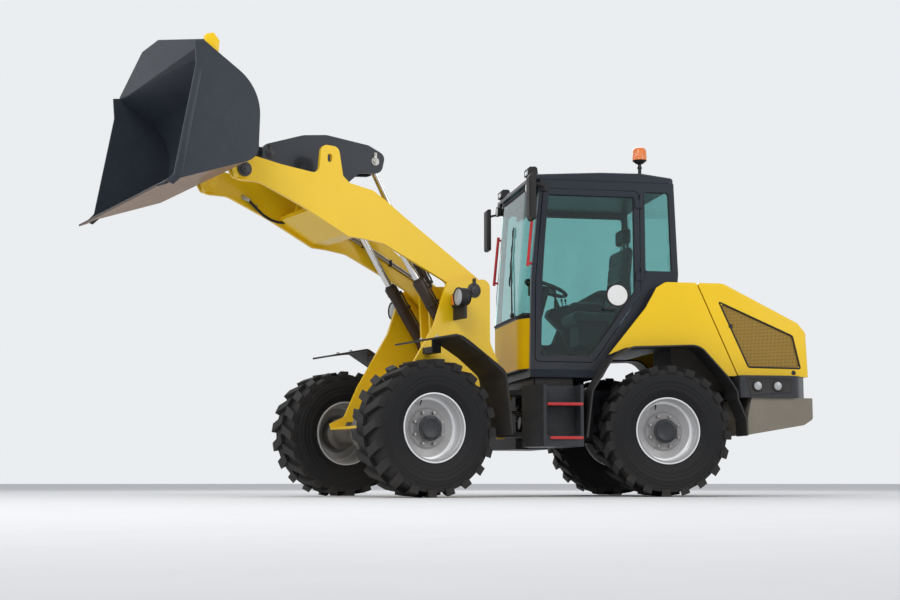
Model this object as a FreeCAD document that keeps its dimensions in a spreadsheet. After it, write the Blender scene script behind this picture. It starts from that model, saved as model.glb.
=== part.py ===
import FreeCAD, Part
import math
import os
import Sketcher
from FreeCAD import Placement, Rotation, Vector

# Compact articulated wheel loader. X points forward, Y to its left, Z up. Everything is modelled from the
# ground point under the rear axle, with the front frame straight ahead, then the front frame is turned
# about the articulation pin to where it stands, and the whole is set on the middle of its footprint.

doc = FreeCAD.newDocument("WheelLoader")
sheet = doc.addObject("Spreadsheet::Sheet", "Dimensions")

drivingDimensions = (
    # running gear
    ("wheelbase", 2364),
    ("track", 1570),
    ("tyreRadius", 535),
    ("tyreWidth", 405),
    ("lugHeight", 26),
    ("lugLength", 74),
    ("lugCount", 20),
    ("rimRadius", 278),
    ("rimWidth", 330),
    ("hubRadius", 150),
    ("axleTube", 88),
    ("steerRest", 18.9),
    # rear frame and hood
    ("frameHalfWidth", 270),
    ("framePlate", 25),
    ("frameBottom", 470),
    ("frameTop", 900),
    ("frameRear", 1130),
    ("hoodHalfWidth", 790),
    ("hoodWall", 22),
    ("hoodTop", 1783),
    ("hoodRear", 1290),
    ("seamGap", 12),
    ("bumperHalfWidth", 930),
    ("bumperRear", 1301),
    # cab
    ("cabHalfWidth", 680),
    ("cabWall", 45),
    ("cabFloor", 1045),
    ("cabTop", 2640),
    ("cabRear", -150),
    ("cabFront", 1085),
    ("roofThick", 90),
    ("glassThick", 6),
    ("doorGap", 6),
    ("postHinge", 110),
    ("doorTop", 2560),
    # front frame and boom
    ("towerInner", 395),
    ("towerPlate", 30),
    ("boomOuter", 365),
    ("boomPlate", 35),
    ("boomPivotX", 1700),
    ("boomPivotZ", 1700),
    ("bucketPinX", 3740),
    ("bucketPinZ", 2520),
    ("leverPinX", 2940),
    ("leverPinZ", 2510),
    ("leverGap", 65),
    ("leverPlate", 32),
    ("pinRadius", 35),
    ("sideClear", 6),
    # bucket
    ("bucketHalfWidth", 985),
    ("bucketPlate", 14),
)

for row, (alias, value) in enumerate(drivingDimensions, start=1):
    sheet.set("A%d" % row, alias)
    sheet.set("B%d" % row, str(value))
    sheet.setAlias("B%d" % row, alias)
doc.recompute()


class Size:
    """A length with the formula of sheet cells that gives it."""

    def __init__(self, value, formula):
        self.value = float(value)
        self.formula = formula

    def combine(self, other, sign, value):
        right = other.formula if isinstance(other, Size) else repr(float(other))
        return Size(value, "(%s %s %s)" % (self.formula, sign, right))

    def __add__(self, other):
        return self.combine(other, "+", self.value + plain(other))

    def __sub__(self, other):
        return self.combine(other, "-", self.value - plain(other))

    def __mul__(self, other):
        return self.combine(other, "*", self.value * plain(other))

    def __truediv__(self, other):
        return self.combine(other, "/", self.value / plain(other))

    def __radd__(self, other):
        return self + other

    def __rmul__(self, other):
        return self * other

    def __rsub__(self, other):
        return self * -1 + other

    def __neg__(self):
        return self * -1


def plain(number):
    """The number itself, whether it is a Size or already a number."""
    return number.value if isinstance(number, Size) else float(number)


def cell(alias):
    """The sheet cell of this name as a Size."""
    return Size(sheet.get(alias), "Dimensions." + alias)


wheelbase = cell("wheelbase")
track = cell("track")
tyreRadius = cell("tyreRadius")
tyreWidth = cell("tyreWidth")
lugHeight = cell("lugHeight")
lugLength = cell("lugLength")
lugCount = cell("lugCount")
rimRadius = cell("rimRadius")
rimWidth = cell("rimWidth")
hubRadius = cell("hubRadius")
axleTube = cell("axleTube")
steerRest = cell("steerRest")
frameHalfWidth = cell("frameHalfWidth")
framePlate = cell("framePlate")
frameBottom = cell("frameBottom")
frameTop = cell("frameTop")
frameRear = cell("frameRear")
hoodHalfWidth = cell("hoodHalfWidth")
hoodWall = cell("hoodWall")
hoodTop = cell("hoodTop")
hoodRear = cell("hoodRear")
seamGap = cell("seamGap")
bumperHalfWidth = cell("bumperHalfWidth")
bumperRear = cell("bumperRear")
cabHalfWidth = cell("cabHalfWidth")
cabWall = cell("cabWall")
cabFloor = cell("cabFloor")
cabTop = cell("cabTop")
cabRear = cell("cabRear")
cabFront = cell("cabFront")
roofThick = cell("roofThick")
glassThick = cell("glassThick")
doorGap = cell("doorGap")
postHinge = cell("postHinge")
doorTop = cell("doorTop")
towerInner = cell("towerInner")
towerPlate = cell("towerPlate")
boomOuter = cell("boomOuter")
boomPlate = cell("boomPlate")
boomPivotX = cell("boomPivotX")
boomPivotZ = cell("boomPivotZ")
bucketPinX = cell("bucketPinX")
bucketPinZ = cell("bucketPinZ")
leverPinX = cell("leverPinX")
leverPinZ = cell("leverPinZ")
leverGap = cell("leverGap")
leverPlate = cell("leverPlate")
pinRadius = cell("pinRadius")
sideClear = cell("sideClear")
bucketHalfWidth = cell("bucketHalfWidth")
bucketPlate = cell("bucketPlate")

articulationX = wheelbase / 2
axleHeight = tyreRadius
subParts = []
frontNames = []

# Sketch planes: the letters give the sketch's own two axes. On XZ a feature's normal points to -Y.
planeRoles = {"XY": "XY_Plane", "XZ": "XZ_Plane", "YZ": "YZ_Plane"}


def newBody(label, front=False):
    """A sub-part's body; the front ones turn with the articulation."""
    body = doc.addObject("PartDesign::Body", "Body_" + label)
    body.Label = label
    subParts.append(body)
    if front:
        frontNames.append(label)
    return body


def bind(target, name, size):
    """Sets a property, and ties it to the sheet where the size comes from there."""
    if isinstance(size, Size):
        target.setExpression(name, size.formula)
    else:
        setattr(target, name, size)


def newSketch(body, plane, offset=0):
    """An empty sketch on one of the body's origin planes, moved along the plane's normal."""
    role = planeRoles[plane]
    origin = [feature for feature in body.Origin.OriginFeatures if feature.Role == role][0]
    sketch = body.newObject("Sketcher::SketchObject", "Sketch_" + body.Label)
    sketch.AttachmentSupport = (origin, [""])
    sketch.MapMode = "FlatFace"
    if isinstance(offset, Size):
        sketch.setExpression("AttachmentOffset.Base.z", offset.formula)
    else:
        sketch.AttachmentOffset = Placement(Vector(0, 0, offset), Rotation())
    return sketch


def pinPoint(sketch, geometry, corner, u, v):
    """Fixes a point of a sketch at its coordinates."""
    for kind, size in (("DistanceX", u), ("DistanceY", v)):
        index = sketch.addConstraint(Sketcher.Constraint(kind, -1, 1, geometry, corner, plain(size)))
        if isinstance(size, Size):
            sketch.setExpression("Constraints[%d]" % index, size.formula)


def addOutline(sketch, points):
    """A closed outline. A point is (u, v) or (u, v, radius) for a rounded corner."""
    corners = [(point[0], point[1], point[2] if len(point) > 2 else 0) for point in points]
    places = [Vector(plain(u), plain(v), 0) for u, v, radius in corners]
    count = len(corners)
    entries = []
    exits = []
    for index, (u, v, radius) in enumerate(corners):
        here = places[index]
        before = (places[index - 1] - here).normalize()
        after = (places[(index + 1) % count] - here).normalize()
        trim = 0
        if plain(radius) > 0:
            half = before.getAngle(after) / 2
            trim = plain(radius) / math.tan(half)
        entries.append(here + before * trim)
        exits.append(here + after * trim)
    lines = []
    for index in range(count):
        following = (index + 1) % count
        lines.append(sketch.addGeometry(Part.LineSegment(exits[index], entries[following])))
    for index, (u, v, radius) in enumerate(corners):
        arriving = lines[index - 1]
        leaving = lines[index]
        if plain(radius) <= 0:
            sketch.addConstraint(Sketcher.Constraint("Coincident", arriving, 2, leaving, 1))
            pinPoint(sketch, leaving, 1, u, v)
            continue
        here = places[index]
        before = (places[index - 1] - here).normalize()
        after = (places[(index + 1) % count] - here).normalize()
        inward = (before + after).normalize()
        half = before.getAngle(after) / 2
        centre = here + inward * (plain(radius) / math.sin(half))
        middle = centre - inward * plain(radius)
        arc = sketch.addGeometry(Part.Arc(entries[index], middle, exits[index]))
        clockwise = before.cross(after).z > 0
        first, last = (2, 1) if clockwise else (1, 2)
        corner = sketch.addGeometry(Part.Point(here), True)
        pinPoint(sketch, corner, 1, u, v)
        sketch.addConstraint(Sketcher.Constraint("PointOnObject", corner, 1, arriving))
        sketch.addConstraint(Sketcher.Constraint("PointOnObject", corner, 1, leaving))
        sketch.addConstraint(Sketcher.Constraint("Tangent", arriving, 2, arc, first))
        sketch.addConstraint(Sketcher.Constraint("Tangent", leaving, 1, arc, last))
        index = sketch.addConstraint(Sketcher.Constraint("Radius", arc, plain(radius)))
        if isinstance(radius, Size):
            sketch.setExpression("Constraints[%d]" % index, radius.formula)


def addCircle(sketch, u, v, radius):
    """A circle fixed at its centre."""
    circle = Part.Circle(Vector(plain(u), plain(v), 0), Vector(0, 0, 1), plain(radius))
    geometry = sketch.addGeometry(circle)
    pinPoint(sketch, geometry, 3, u, v)
    index = sketch.addConstraint(Sketcher.Constraint("Radius", geometry, plain(radius)))
    if isinstance(radius, Size):
        sketch.setExpression("Constraints[%d]" % index, radius.formula)


def extrude(body, kind, plane, outlines, low, high, circles=()):
    """A Pad or Pocket of the outlines between two places along the plane's own axis.

    On XZ the places are along +Y, although the sketch's normal points the other way."""
    offset = -high if plane == "XZ" else low
    if not isinstance(offset, Size):
        offset = Size(offset, repr(float(offset)))
    sketch = newSketch(body, plane, offset)
    for outline in outlines:
        addOutline(sketch, outline)
    for u, v, radius in circles:
        addCircle(sketch, u, v, radius)
    feature = body.newObject("PartDesign::" + kind, kind + "_" + body.Label)
    feature.Profile = (sketch, [""])
    bind(feature, "Length", high - low if isinstance(high, Size) or isinstance(low, Size)
         else float(high - low))
    feature.Reversed = kind == "Pocket"
    body.Tip = feature
    doc.recompute()
    return feature


def pad(body, plane, outline, low, high, circles=()):
    """Adds a prism of one outline."""
    return extrude(body, "Pad", plane, [outline], low, high, circles)


def disc(body, plane, u, v, radius, low, high):
    """Adds a round bar."""
    return extrude(body, "Pad", plane, [], low, high, [(u, v, radius)])


def pocket(body, plane, outlines, low, high, circles=()):
    """Cuts prisms out, and makes sure that something was cut."""
    before = body.Shape.Volume
    feature = extrude(body, "Pocket", plane, outlines, low, high, circles)
    if body.Shape.Volume >= before - 1:
        raise RuntimeError("nothing cut from " + body.Label)
    return feature


def bore(body, plane, u, v, radius, low, high):
    """Cuts a round hole."""
    return pocket(body, plane, [], low, high, [(u, v, radius)])


def revolve(body, kind, outline, x, z):
    """Turns an outline of (distance to the left, radius) about a wheel axis at this x and z."""
    sketch = newSketch(body, "YZ", x)
    sketch.setExpression("AttachmentOffset.Base.y", z.formula)
    addOutline(sketch, outline)
    feature = body.newObject("PartDesign::" + kind, kind + "_" + body.Label)
    feature.Profile = (sketch, [""])
    feature.ReferenceAxis = (sketch, ["H_Axis"])
    feature.Angle = 360
    body.Tip = feature
    doc.recompute()
    return sketch


def roundEdges(body, radius, chosen):
    """Rounds the edges whose two ends pass the test, which sees each as its least and most coordinates."""
    names = []
    for number, edge in enumerate(body.Shape.Edges, start=1):
        box = edge.BoundBox
        if chosen(box):
            names.append("Edge%d" % number)
    if not names:
        raise RuntimeError("no edge to round on " + body.Label)
    base = body.Tip
    feature = body.newObject("PartDesign::Fillet", "Fillet_" + body.Label)
    feature.Base = (base, names)
    bind(feature, "Radius", radius)
    body.Tip = feature
    doc.recompute()
    return feature


def rectangle(u1, v1, u2, v2, radius=0):
    """A rectangle's four corners."""
    return [(u1, v1, radius), (u2, v1, radius), (u2, v2, radius), (u1, v2, radius)]


# Wheels: a tyre with lugs out to their tips, on a dished rim with its hub.

def makeTyre(label, front, x, side):
    """One tyre; the two rows of lugs slant, half a pitch apart."""
    middle = side * track / 2
    shoulder = tyreWidth / 2
    carcass = tyreRadius - lugHeight
    bead = rimRadius - 6
    body = newBody(label, front)
    outline = [
        (middle - rimWidth / 2, bead),
        (middle - shoulder + 6, rimRadius + 50),
        (middle - shoulder, tyreRadius - 120),
        (middle - shoulder + 18, carcass - 12),
        (middle + shoulder - 18, carcass - 12),
        (middle + shoulder, tyreRadius - 120),
        (middle + shoulder - 6, rimRadius + 50),
        (middle + rimWidth / 2, bead),
    ]
    axisSketch = revolve(body, "Revolution", outline, x, axleHeight)
    slant = 34
    reach = lugLength / 2 + slant
    lugTop = tyreRadius - reach * reach / (2 * tyreRadius)
    lugs = []
    for row, way in enumerate((1, -1)):
        turn = Rotation(Vector(0, 1, 0), row * 180 / plain(lugCount))
        centre = Vector(plain(x), 0, plain(axleHeight))
        sketch = newSketch(body, "XY")
        sketch.AttachmentOffset = Placement(centre + turn.multVec(Vector(0, 0, plain(lugTop))), turn)
        lean = slant * side
        inner = middle + way * 8
        outer = middle + way * (shoulder - 2)
        addOutline(sketch, [
            (-lugLength / 2 + lean, inner),
            (lugLength / 2 + lean, inner),
            (lugLength / 2 - lean, outer),
            (-lugLength / 2 - lean, outer),
        ])
        lug = body.newObject("PartDesign::Pad", "Lug_" + label)
        lug.Profile = (sketch, [""])
        bind(lug, "Length", lugHeight + 34)
        lug.Reversed = True
        lugs.append(lug)
        doc.recompute()
    pattern = body.newObject("PartDesign::PolarPattern", "Lugs_" + label)
    pattern.Originals = lugs
    pattern.Axis = (axisSketch, ["H_Axis"])
    pattern.Angle = 360
    bind(pattern, "Occurrences", lugCount)
    body.Tip = pattern
    doc.recompute()


def makeRim(label, front, x, side):
    """One rim with its disc and hub, closed at the middle."""
    middle = side * track / 2
    seat = rimRadius - 6.3
    edge = rimWidth / 2 + 9
    profile = (
        (-edge, seat), (edge, seat), (edge, seat - 14), (edge - 22, seat - 28),
        (62, seat - 32), (38, hubRadius + 12), (56, hubRadius - 4),
        (56, 96), (94, 84), (94, 0),
        (36, 0), (36, hubRadius - 10), (16, hubRadius + 14), (22, seat - 36),
        (-edge + 22, seat - 28), (-edge, seat - 14),
    )
    body = newBody(label, front)
    revolve(body, "Revolution", [(middle + side * u, v) for u, v in profile], x, axleHeight)


def makeAxle(label, front, x):
    """An axle beam with its drop-centre case and the two hub drums."""
    reach = track / 2 + 35.7
    body = newBody(label, front)
    half = (
        (reach, 0), (reach, hubRadius - 16), (reach - 118, hubRadius - 16),
        (reach - 140, axleTube + 10), (reach - 240, axleTube), (250, axleTube),
        (170, 175), (120, 195),
    )
    outline = [(y, r) for y, r in half] + [(-y, r) for y, r in reversed(half)]
    revolve(body, "Revolution", outline, x, axleHeight)
    return body


wheelPlaces = (
    ("front_left", True, wheelbase, 1),
    ("front_right", True, wheelbase, -1),
    ("rear_left", False, Size(0, "0"), 1),
    ("rear_right", False, Size(0, "0"), -1),
)
for name, front, x, side in wheelPlaces:
    makeTyre("tyre_" + name, front, x, side)
    makeRim("rim_" + name, front, x, side)

# Rear axle with the two trunnions that let it rock in the frame.

trunnionRadius = 60
rearAxle = makeAxle("rear_axle", False, Size(0, "0"))
disc(rearAxle, "YZ", 0, axleHeight, trunnionRadius, -262, 262)
frontAxle = makeAxle("front_axle", True, wheelbase)

# Rear frame: two side plates, cross plates at the trunnions, hinge plates at the articulation.

hingePlate = 40
hingeGap = 5
hingePinRadius = 40
frameFront = articulationX - 242

rearFrame = newBody("rear_frame")
pad(rearFrame, "XZ", [
    (-frameRear, frameBottom + 120), (-400, frameBottom + 60), (-300, axleHeight - 75),
    (-220, axleHeight - 75), (-180, axleHeight + axleTube + 12), (180, axleHeight + axleTube + 12),
    (220, axleHeight - 75), (300, axleHeight - 75), (420, frameBottom), (frameFront, frameBottom),
    (frameFront, frameTop), (-frameRear, frameTop),
], -frameHalfWidth, frameHalfWidth)
inner = frameHalfWidth - framePlate
pocket(rearFrame, "XY", [
    rectangle(-frameRear + framePlate, -inner, -262, inner),
    rectangle(-232, -inner, 232, inner),
    rectangle(262, -inner, frameFront - framePlate, inner),
], frameBottom - 50, frameTop + 10)
bore(rearFrame, "YZ", 0, axleHeight, trunnionRadius + 0.3, -300, 300)
lowerHinge = frameBottom + 30
for low in (frameTop - hingePlate, lowerHinge):
    pad(rearFrame, "XY", [
        (frameFront - 1, -frameHalfWidth), (articulationX + 60, -95, 60), (articulationX + 60, 95, 60),
        (frameFront - 1, frameHalfWidth),
    ], low, low + hingePlate)
bore(rearFrame, "XY", articulationX, 0, hingePinRadius + 0.3, frameBottom, frameTop + 10)

# Front frame: a tower of two plates on a floor, with its own hinge plates, pins for boom and cylinders.

towerRear = articulationX + 165
towerBottom = frameBottom + 75
towerOuter = towerInner + towerPlate
liftPinX = boomPivotX - 40
liftPinZ = boomPivotZ - 650
tiltPinX = boomPivotX + 180
tiltPinZ = boomPivotZ - 10

frontFrame = newBody("front_frame", True)
saddle = axleHeight + axleTube + 0.3
pad(frontFrame, "XZ", [
    (towerRear, towerBottom), (towerRear, frameTop - 30, 60), (boomPivotX - 155, 1270, 120),
    (boomPivotX - 155, boomPivotZ + 105, 70), (boomPivotX + 250, boomPivotZ + 60, 60),
    (wheelbase - 289, 1390, 120), (wheelbase - 7, 928, 80), (wheelbase + 118, 665, 30), (wheelbase + 250, 606),
    (wheelbase + 236, 556), (wheelbase + 130, 556), (wheelbase + 100, saddle), (wheelbase - 100, saddle),
    (wheelbase - 130, 556), (1900, towerBottom),
], -towerOuter, towerOuter)
pocket(frontFrame, "XY", [rectangle(towerRear + 30, -towerInner, wheelbase + 400, towerInner)],
       towerBottom + 30, boomPivotZ + 300)
pocket(frontFrame, "XY", [rectangle(wheelbase - 215, -215, wheelbase + 215, 215)], 500, 760)
pad(frontFrame, "XZ", rectangle(wheelbase - 330, 700, wheelbase - 300, 1080), -towerInner - 1, towerInner + 1)
pocket(frontFrame, "XY", [
    [(towerRear - 5, -towerOuter - 5), (towerRear + 260, -towerOuter - 5), (towerRear - 5, -290)],
    [(towerRear - 5, towerOuter + 5), (towerRear - 5, 290), (towerRear + 260, towerOuter + 5)],
], towerBottom - 5, 1110)
for low in (frameTop - 2 * hingePlate - hingeGap, lowerHinge + hingePlate + hingeGap):
    pad(frontFrame, "XY", [
        (towerRear + 2, -240), (towerRear + 2, 240), (articulationX - 62, 95, 62), (articulationX - 62, -95, 62),
    ], low, low + hingePlate)
disc(frontFrame, "XY", articulationX, 0, hingePinRadius, lowerHinge - 12, frameTop + 12)
for low, high in ((leverGap, leverGap + 28), (-leverGap - 28, -leverGap)):
    pad(frontFrame, "XZ", [
        (boomPivotX - 70, towerBottom + 29), (boomPivotX + 180, towerBottom + 29), (tiltPinX + 62, tiltPinZ - 60),
        (tiltPinX + 62, tiltPinZ + 62, 58), (boomPivotX - 70, boomPivotZ + 70, 60),
    ], low, high)
for x, z in ((boomPivotX, boomPivotZ), (liftPinX, liftPinZ)):
    disc(frontFrame, "XZ", x, z, pinRadius, -towerOuter - 14, towerOuter + 14)
disc(frontFrame, "XZ", tiltPinX, tiltPinZ, pinRadius, -leverGap - 36, leverGap + 36)

# Boom: two banana plates with slotted lugs, a closed box between them and lever ears on the box.

boomInner = boomOuter - boomPlate
tipEye = 80
leverEar = leverGap + leverPlate + sideClear
rodPinX = boomPivotX + 750
rodPinZ = boomPivotZ + 550

boom = newBody("boom", True)
pad(boom, "XZ", [
    (boomPivotX - 112, boomPivotZ - 20, 60), (boomPivotX - 80, boomPivotZ + 105, 60),
    (2363, 2301), (2479, 2385, 90), (2609, 2466), (2822, 2508, 60), (2880, 2560), (2920, 2790, 55),
    (3072, 2800, 55), (3092, 2556, 60), (3411, 2598), (bucketPinX - 110, bucketPinZ + 120, 60),
    (bucketPinX + tipEye, bucketPinZ + tipEye - 10, tipEye - 4),
    (bucketPinX + tipEye - 10, bucketPinZ - tipEye, tipEye - 10), (3591, 2440, 200),
    (3226, 2281, 400), (2824, 2073), (2707, 2066, 200), (2511, 2040, 200), (2352, 1965), (1948, 1772),
    (boomPivotX + 60, boomPivotZ - 95, 90), (boomPivotX - 60, boomPivotZ - 95, 60),
], -boomOuter, boomOuter)
pocket(boom, "XZ", [rectangle(1400, 1500, 4000, 3000)], -boomInner, boomInner)
pad(boom, "XZ", [
    (2716, 2090), (2830, 2100), (3140, 2270), (3130, 2310, 20), (2800, 2330, 60), (2700, 2240, 40),
], -boomInner - 1, boomInner + 1)
for low, high in ((leverEar, leverEar + 30), (-leverEar - 30, -leverEar)):
    pad(boom, "XZ", [
        (leverPinX - 150, 2290), (leverPinX + 150, 2290), (leverPinX + 75, leverPinZ + 75, 70),
        (leverPinX - 75, leverPinZ + 75, 70),
    ], low, high)
disc(boom, "XZ", leverPinX, leverPinZ, pinRadius, -leverEar - 38, leverEar + 38)
for x, z, radius in ((boomPivotX, boomPivotZ, pinRadius + 0.3), (bucketPinX, bucketPinZ, pinRadius + 0.3)):
    bore(boom, "XZ", x, z, radius, -boomOuter - 1, boomOuter + 1)
pocket(boom, "XZ", [
    [(2978, 2660, 19), (3018, 2660, 19), (3018, 2728, 19), (2978, 2728, 19)],
], -boomOuter - 1, boomOuter + 1)
for side in (1, -1):
    low, high = sorted((side * (plain(boomInner) - 24), side * (plain(boomInner) + 1)))
    disc(boom, "XZ", rodPinX, rodPinZ, 62, low, high)

# Lever: two plates bent over the boom, joined by the pivot sleeve and the link's pin.

leverRearX = 2460
leverRearZ = 2770
leverFrontX = 3400
leverFrontZ = 2740
lever = newBody("lever", True)
leverOuter = leverGap + leverPlate
pad(lever, "XZ", [
    (leverRearX - 95, leverRearZ + 60, 60), (2520, 2900, 60), (2906, 2945, 200), (3113, 2920, 200),
    (leverFrontX + 72, leverFrontZ + 60, 70), (leverFrontX + 60, leverFrontZ - 72, 70),
    (leverPinX + 90, leverPinZ - 85, 100), (leverPinX - 70, leverPinZ - 90, 90),
    (leverRearX + 140, leverRearZ - 110, 120), (leverRearX - 60, leverRearZ - 95, 70),
], -leverOuter, leverOuter)
pocket(lever, "XZ", [rectangle(2200, 2300, 3700, 3100)], -leverGap, leverGap)
disc(lever, "XZ", leverPinX, leverPinZ, 62, -leverGap - 1, leverGap + 1)
bore(lever, "XZ", leverPinX, leverPinZ, pinRadius + 0.3, -leverOuter - 1, leverOuter + 1)
for side in (1, -1):
    low, high = sorted((side * (plain(leverGap) - 5), side * (plain(leverGap) + 1)))
    disc(lever, "XZ", leverRearX, leverRearZ, 55, low, high)
    disc(lever, "XZ", leverFrontX, leverFrontZ, 50, low, high)

# Link from its pin on the bucket's ears to the lever's front end.

linkRearEye = 50
linkHalf = leverGap - 7
hitchPinX = bucketPinX + 15
hitchPinZ = bucketPinZ + 320
link = newBody("link", True)
disc(link, "XZ", leverFrontX, leverFrontZ, linkRearEye, -linkHalf, linkHalf)
disc(link, "XZ", hitchPinX, hitchPinZ, linkRearEye, -linkHalf, linkHalf)
run = Vector(plain(hitchPinX) - leverFrontX, plain(hitchPinZ) - leverFrontZ, 0).normalize()
across = Vector(-run.y, run.x, 0) * 34
pad(link, "XZ", [
    (leverFrontX + across.x, leverFrontZ + across.y), (leverFrontX - across.x, leverFrontZ - across.y),
    (hitchPinX - across.x, hitchPinZ - across.y), (hitchPinX + across.x, hitchPinZ + across.y),
], -linkHalf + 12, linkHalf - 12)
bore(link, "XZ", hitchPinX, hitchPinZ, 25.3, -linkHalf - 1, linkHalf + 1)


# Cylinders: a barrel with its eye, and a rod that ends in a closed eye between its stub pins.

def makeCylinder(barrelLabel, rodLabel, start, end, lanes, barrelRadius, rodRadius, split, inside, eyeHalf):
    """Barrel and rod between two pins: the barrel ends at a share of the way, with a length of rod inside."""
    startX, startZ = (plain(value) for value in start)
    endX, endZ = (plain(value) for value in end)
    length = math.hypot(endX - startX, endZ - startZ)
    angle = math.degrees(math.atan2(endX - startX, endZ - startZ))
    barrel = newBody(barrelLabel, True)
    rod = newBody(rodLabel, True)
    eye = barrelRadius + 8
    tubeEnd = length * split
    for lane in lanes:
        disc(barrel, "XZ", 0, 0, eye, lane - eyeHalf, lane + eyeHalf)
        disc(barrel, "XY", 0, lane, barrelRadius, eye - 20, tubeEnd)
        disc(barrel, "XY", 0, lane, barrelRadius + 4, tubeEnd - 70, tubeEnd)
        bore(barrel, "XZ", 0, 0, pinRadius + 0.3, lane - eyeHalf - 1, lane + eyeHalf + 1)
        bore(barrel, "XY", 0, lane, rodRadius + 0.5, eye + 40, tubeEnd + 1)
        disc(rod, "XY", 0, lane, rodRadius, tubeEnd - inside, length)
        disc(rod, "XZ", 0, length, eye - 6, lane - eyeHalf, lane + eyeHalf)
    placement = Placement(Vector(startX, 0, startZ), Rotation(Vector(0, 1, 0), angle))
    barrel.Placement = placement
    rod.Placement = placement


makeCylinder("tilt_barrel", "tilt_rod", (tiltPinX, tiltPinZ), (leverRearX, leverRearZ), (0,), 52, 28,
             0.62, 470, 55)
makeCylinder("lift_barrels", "lift_rods", (liftPinX, liftPinZ), (rodPinX, rodPinZ), (250, -250), 50, 28,
             0.60, 250, 47)

# Bucket with its hitch: a rolled shell, side plates, a cutting edge and a raised spill guard.

bucket = newBody("bucket", True)
sideInner = bucketHalfWidth - bucketPlate
shellBack = bucketPinX + 118
pad(bucket, "XZ", [
    (4577, 2237), (4506, 2313, 30), (4357, 3135, 60), (4371, 3301), (4297, 3311),
    (shellBack - 8, 3010, 380), (shellBack + 6, 2484, 130),
], -bucketHalfWidth, bucketHalfWidth)
pocket(bucket, "XZ", [[
    (4600, 2250), (4800, 2200), (4800, 3400), (4345, 3400), (4303, 3292),
    (shellBack + 8, 3002, 364), (shellBack + 24, 2498, 116),
]], -sideInner, sideInner)
pad(bucket, "XZ", [(4560, 2226), (4626, 2200), (4632, 2214), (4505, 2262)], -sideInner - 6, sideInner + 6)
guardTop = 3509
guardHalf = 160
pad(bucket, "XZ", [(4293, 3298), (4306, 3294), (4384, guardTop - 4), (4371, guardTop)],
    -bucketHalfWidth, bucketHalfWidth)
pocket(bucket, "YZ", [
    [(guardHalf, guardTop + 4), (bucketHalfWidth + 5, 3318), (bucketHalfWidth + 5, 3600), (guardHalf, 3600)],
    [(-guardHalf, guardTop + 4), (-guardHalf, 3600), (-bucketHalfWidth - 5, 3600),
     (-bucketHalfWidth - 5, 3318)],
], 4200, 4500)

hitch = newBody("quick_hitch", True)
earOuter = boomOuter + sideClear + 28
plateLow = shellBack + 3.5
plateHigh = shellBack - 7
pad(hitch, "XZ", [(plateLow, 2560), (plateHigh, 2960), (plateHigh - 16, 2960), (plateLow - 16, 2560)],
    -earOuter, earOuter)
for low, high in ((boomOuter + sideClear, earOuter), (-earOuter, -boomOuter - sideClear),
                  (boomInner - sideClear - 28, boomInner - sideClear),
                  (-boomInner + sideClear, -boomInner + sideClear + 28)):
    pad(hitch, "XZ", [
        (bucketPinX - 60, bucketPinZ - 62, 58), (bucketPinX + 62, bucketPinZ - 62, 40),
        (shellBack - 10, bucketPinZ + 20), (shellBack - 10, bucketPinZ + 300),
        (bucketPinX - 60, bucketPinZ + 62, 58),
    ], low, high)
for low, high in ((boomInner - sideClear - 34, earOuter + 6), (-earOuter - 6, -boomInner + sideClear + 34)):
    disc(hitch, "XZ", bucketPinX, bucketPinZ, pinRadius, low, high)
for low, high in ((leverGap, leverGap + 28), (-leverGap - 28, -leverGap)):
    pad(hitch, "XZ", [
        (hitchPinX - 50, hitchPinZ + 55, 50), (hitchPinX - 50, hitchPinZ - 55, 50),
        (shellBack - 10, hitchPinZ - 90), (shellBack - 10, hitchPinZ + 60),
    ], low, high)
disc(hitch, "XZ", hitchPinX, hitchPinZ, 25, -leverGap - 34, leverGap + 34)

# Front fenders: a bent shell over each front tyre, carried by a bracket from the tower.

for label, side in (("front_fender_left", 1), ("front_fender_right", -1)):
    near = side * 575
    far = side * 985
    low, high = sorted((near, far))
    fender = newBody(label, True)
    pad(fender, "XZ", [
        (wheelbase + 150, 1205), (wheelbase - 185, 1271, 60), (wheelbase - 431, 1131, 80),
        (wheelbase - 637, 983, 120), (wheelbase - 689, 493), (wheelbase - 677, 490),
        (wheelbase - 622, 965, 108), (wheelbase - 424, 1116, 70), (wheelbase - 182, 1255, 50),
        (wheelbase + 148, 1190),
    ], low, high)
    low, high = sorted((side * (plain(towerOuter) + 0.3), near + side * 2))
    pad(fender, "XZ", rectangle(wheelbase - 260, 1150, wheelbase - 180, 1200), low, high)
    pad(fender, "XZ", [
        (wheelbase - 260, 1150), (wheelbase - 180, 1150), (wheelbase - 180, 1262), (wheelbase - 260, 1218),
    ], min(near, near + side * 14), max(near, near + side * 14))

# Work lights beside the tower's head: on each bracket a round lamp with its indicator on the inner side.

lampRear = 1845
lampFront = 1940
lampZ = 1615
lampRadius = 76
headLights = newBody("head_lights", True)
headLights.AllowCompound = True
for side in (1, -1):
    low, high = sorted((side * (plain(towerOuter) + 0.3), side * 620))
    pad(headLights, "XZ", rectangle(1880, 1440, 1900, lampZ - 60), low, high)
    disc(headLights, "YZ", side * 580, lampZ, lampRadius, lampRear + 25, lampFront)
    disc(headLights, "YZ", side * 580, lampZ, lampRadius - 26, lampRear, lampRear + 30)
    low, high = sorted((side * 455, side * 520))
    pad(headLights, "XZ", rectangle(lampRear + 20, lampZ - 75, lampFront - 10, lampZ + 35), low, high)

# Rear weight and bumper.

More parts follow.
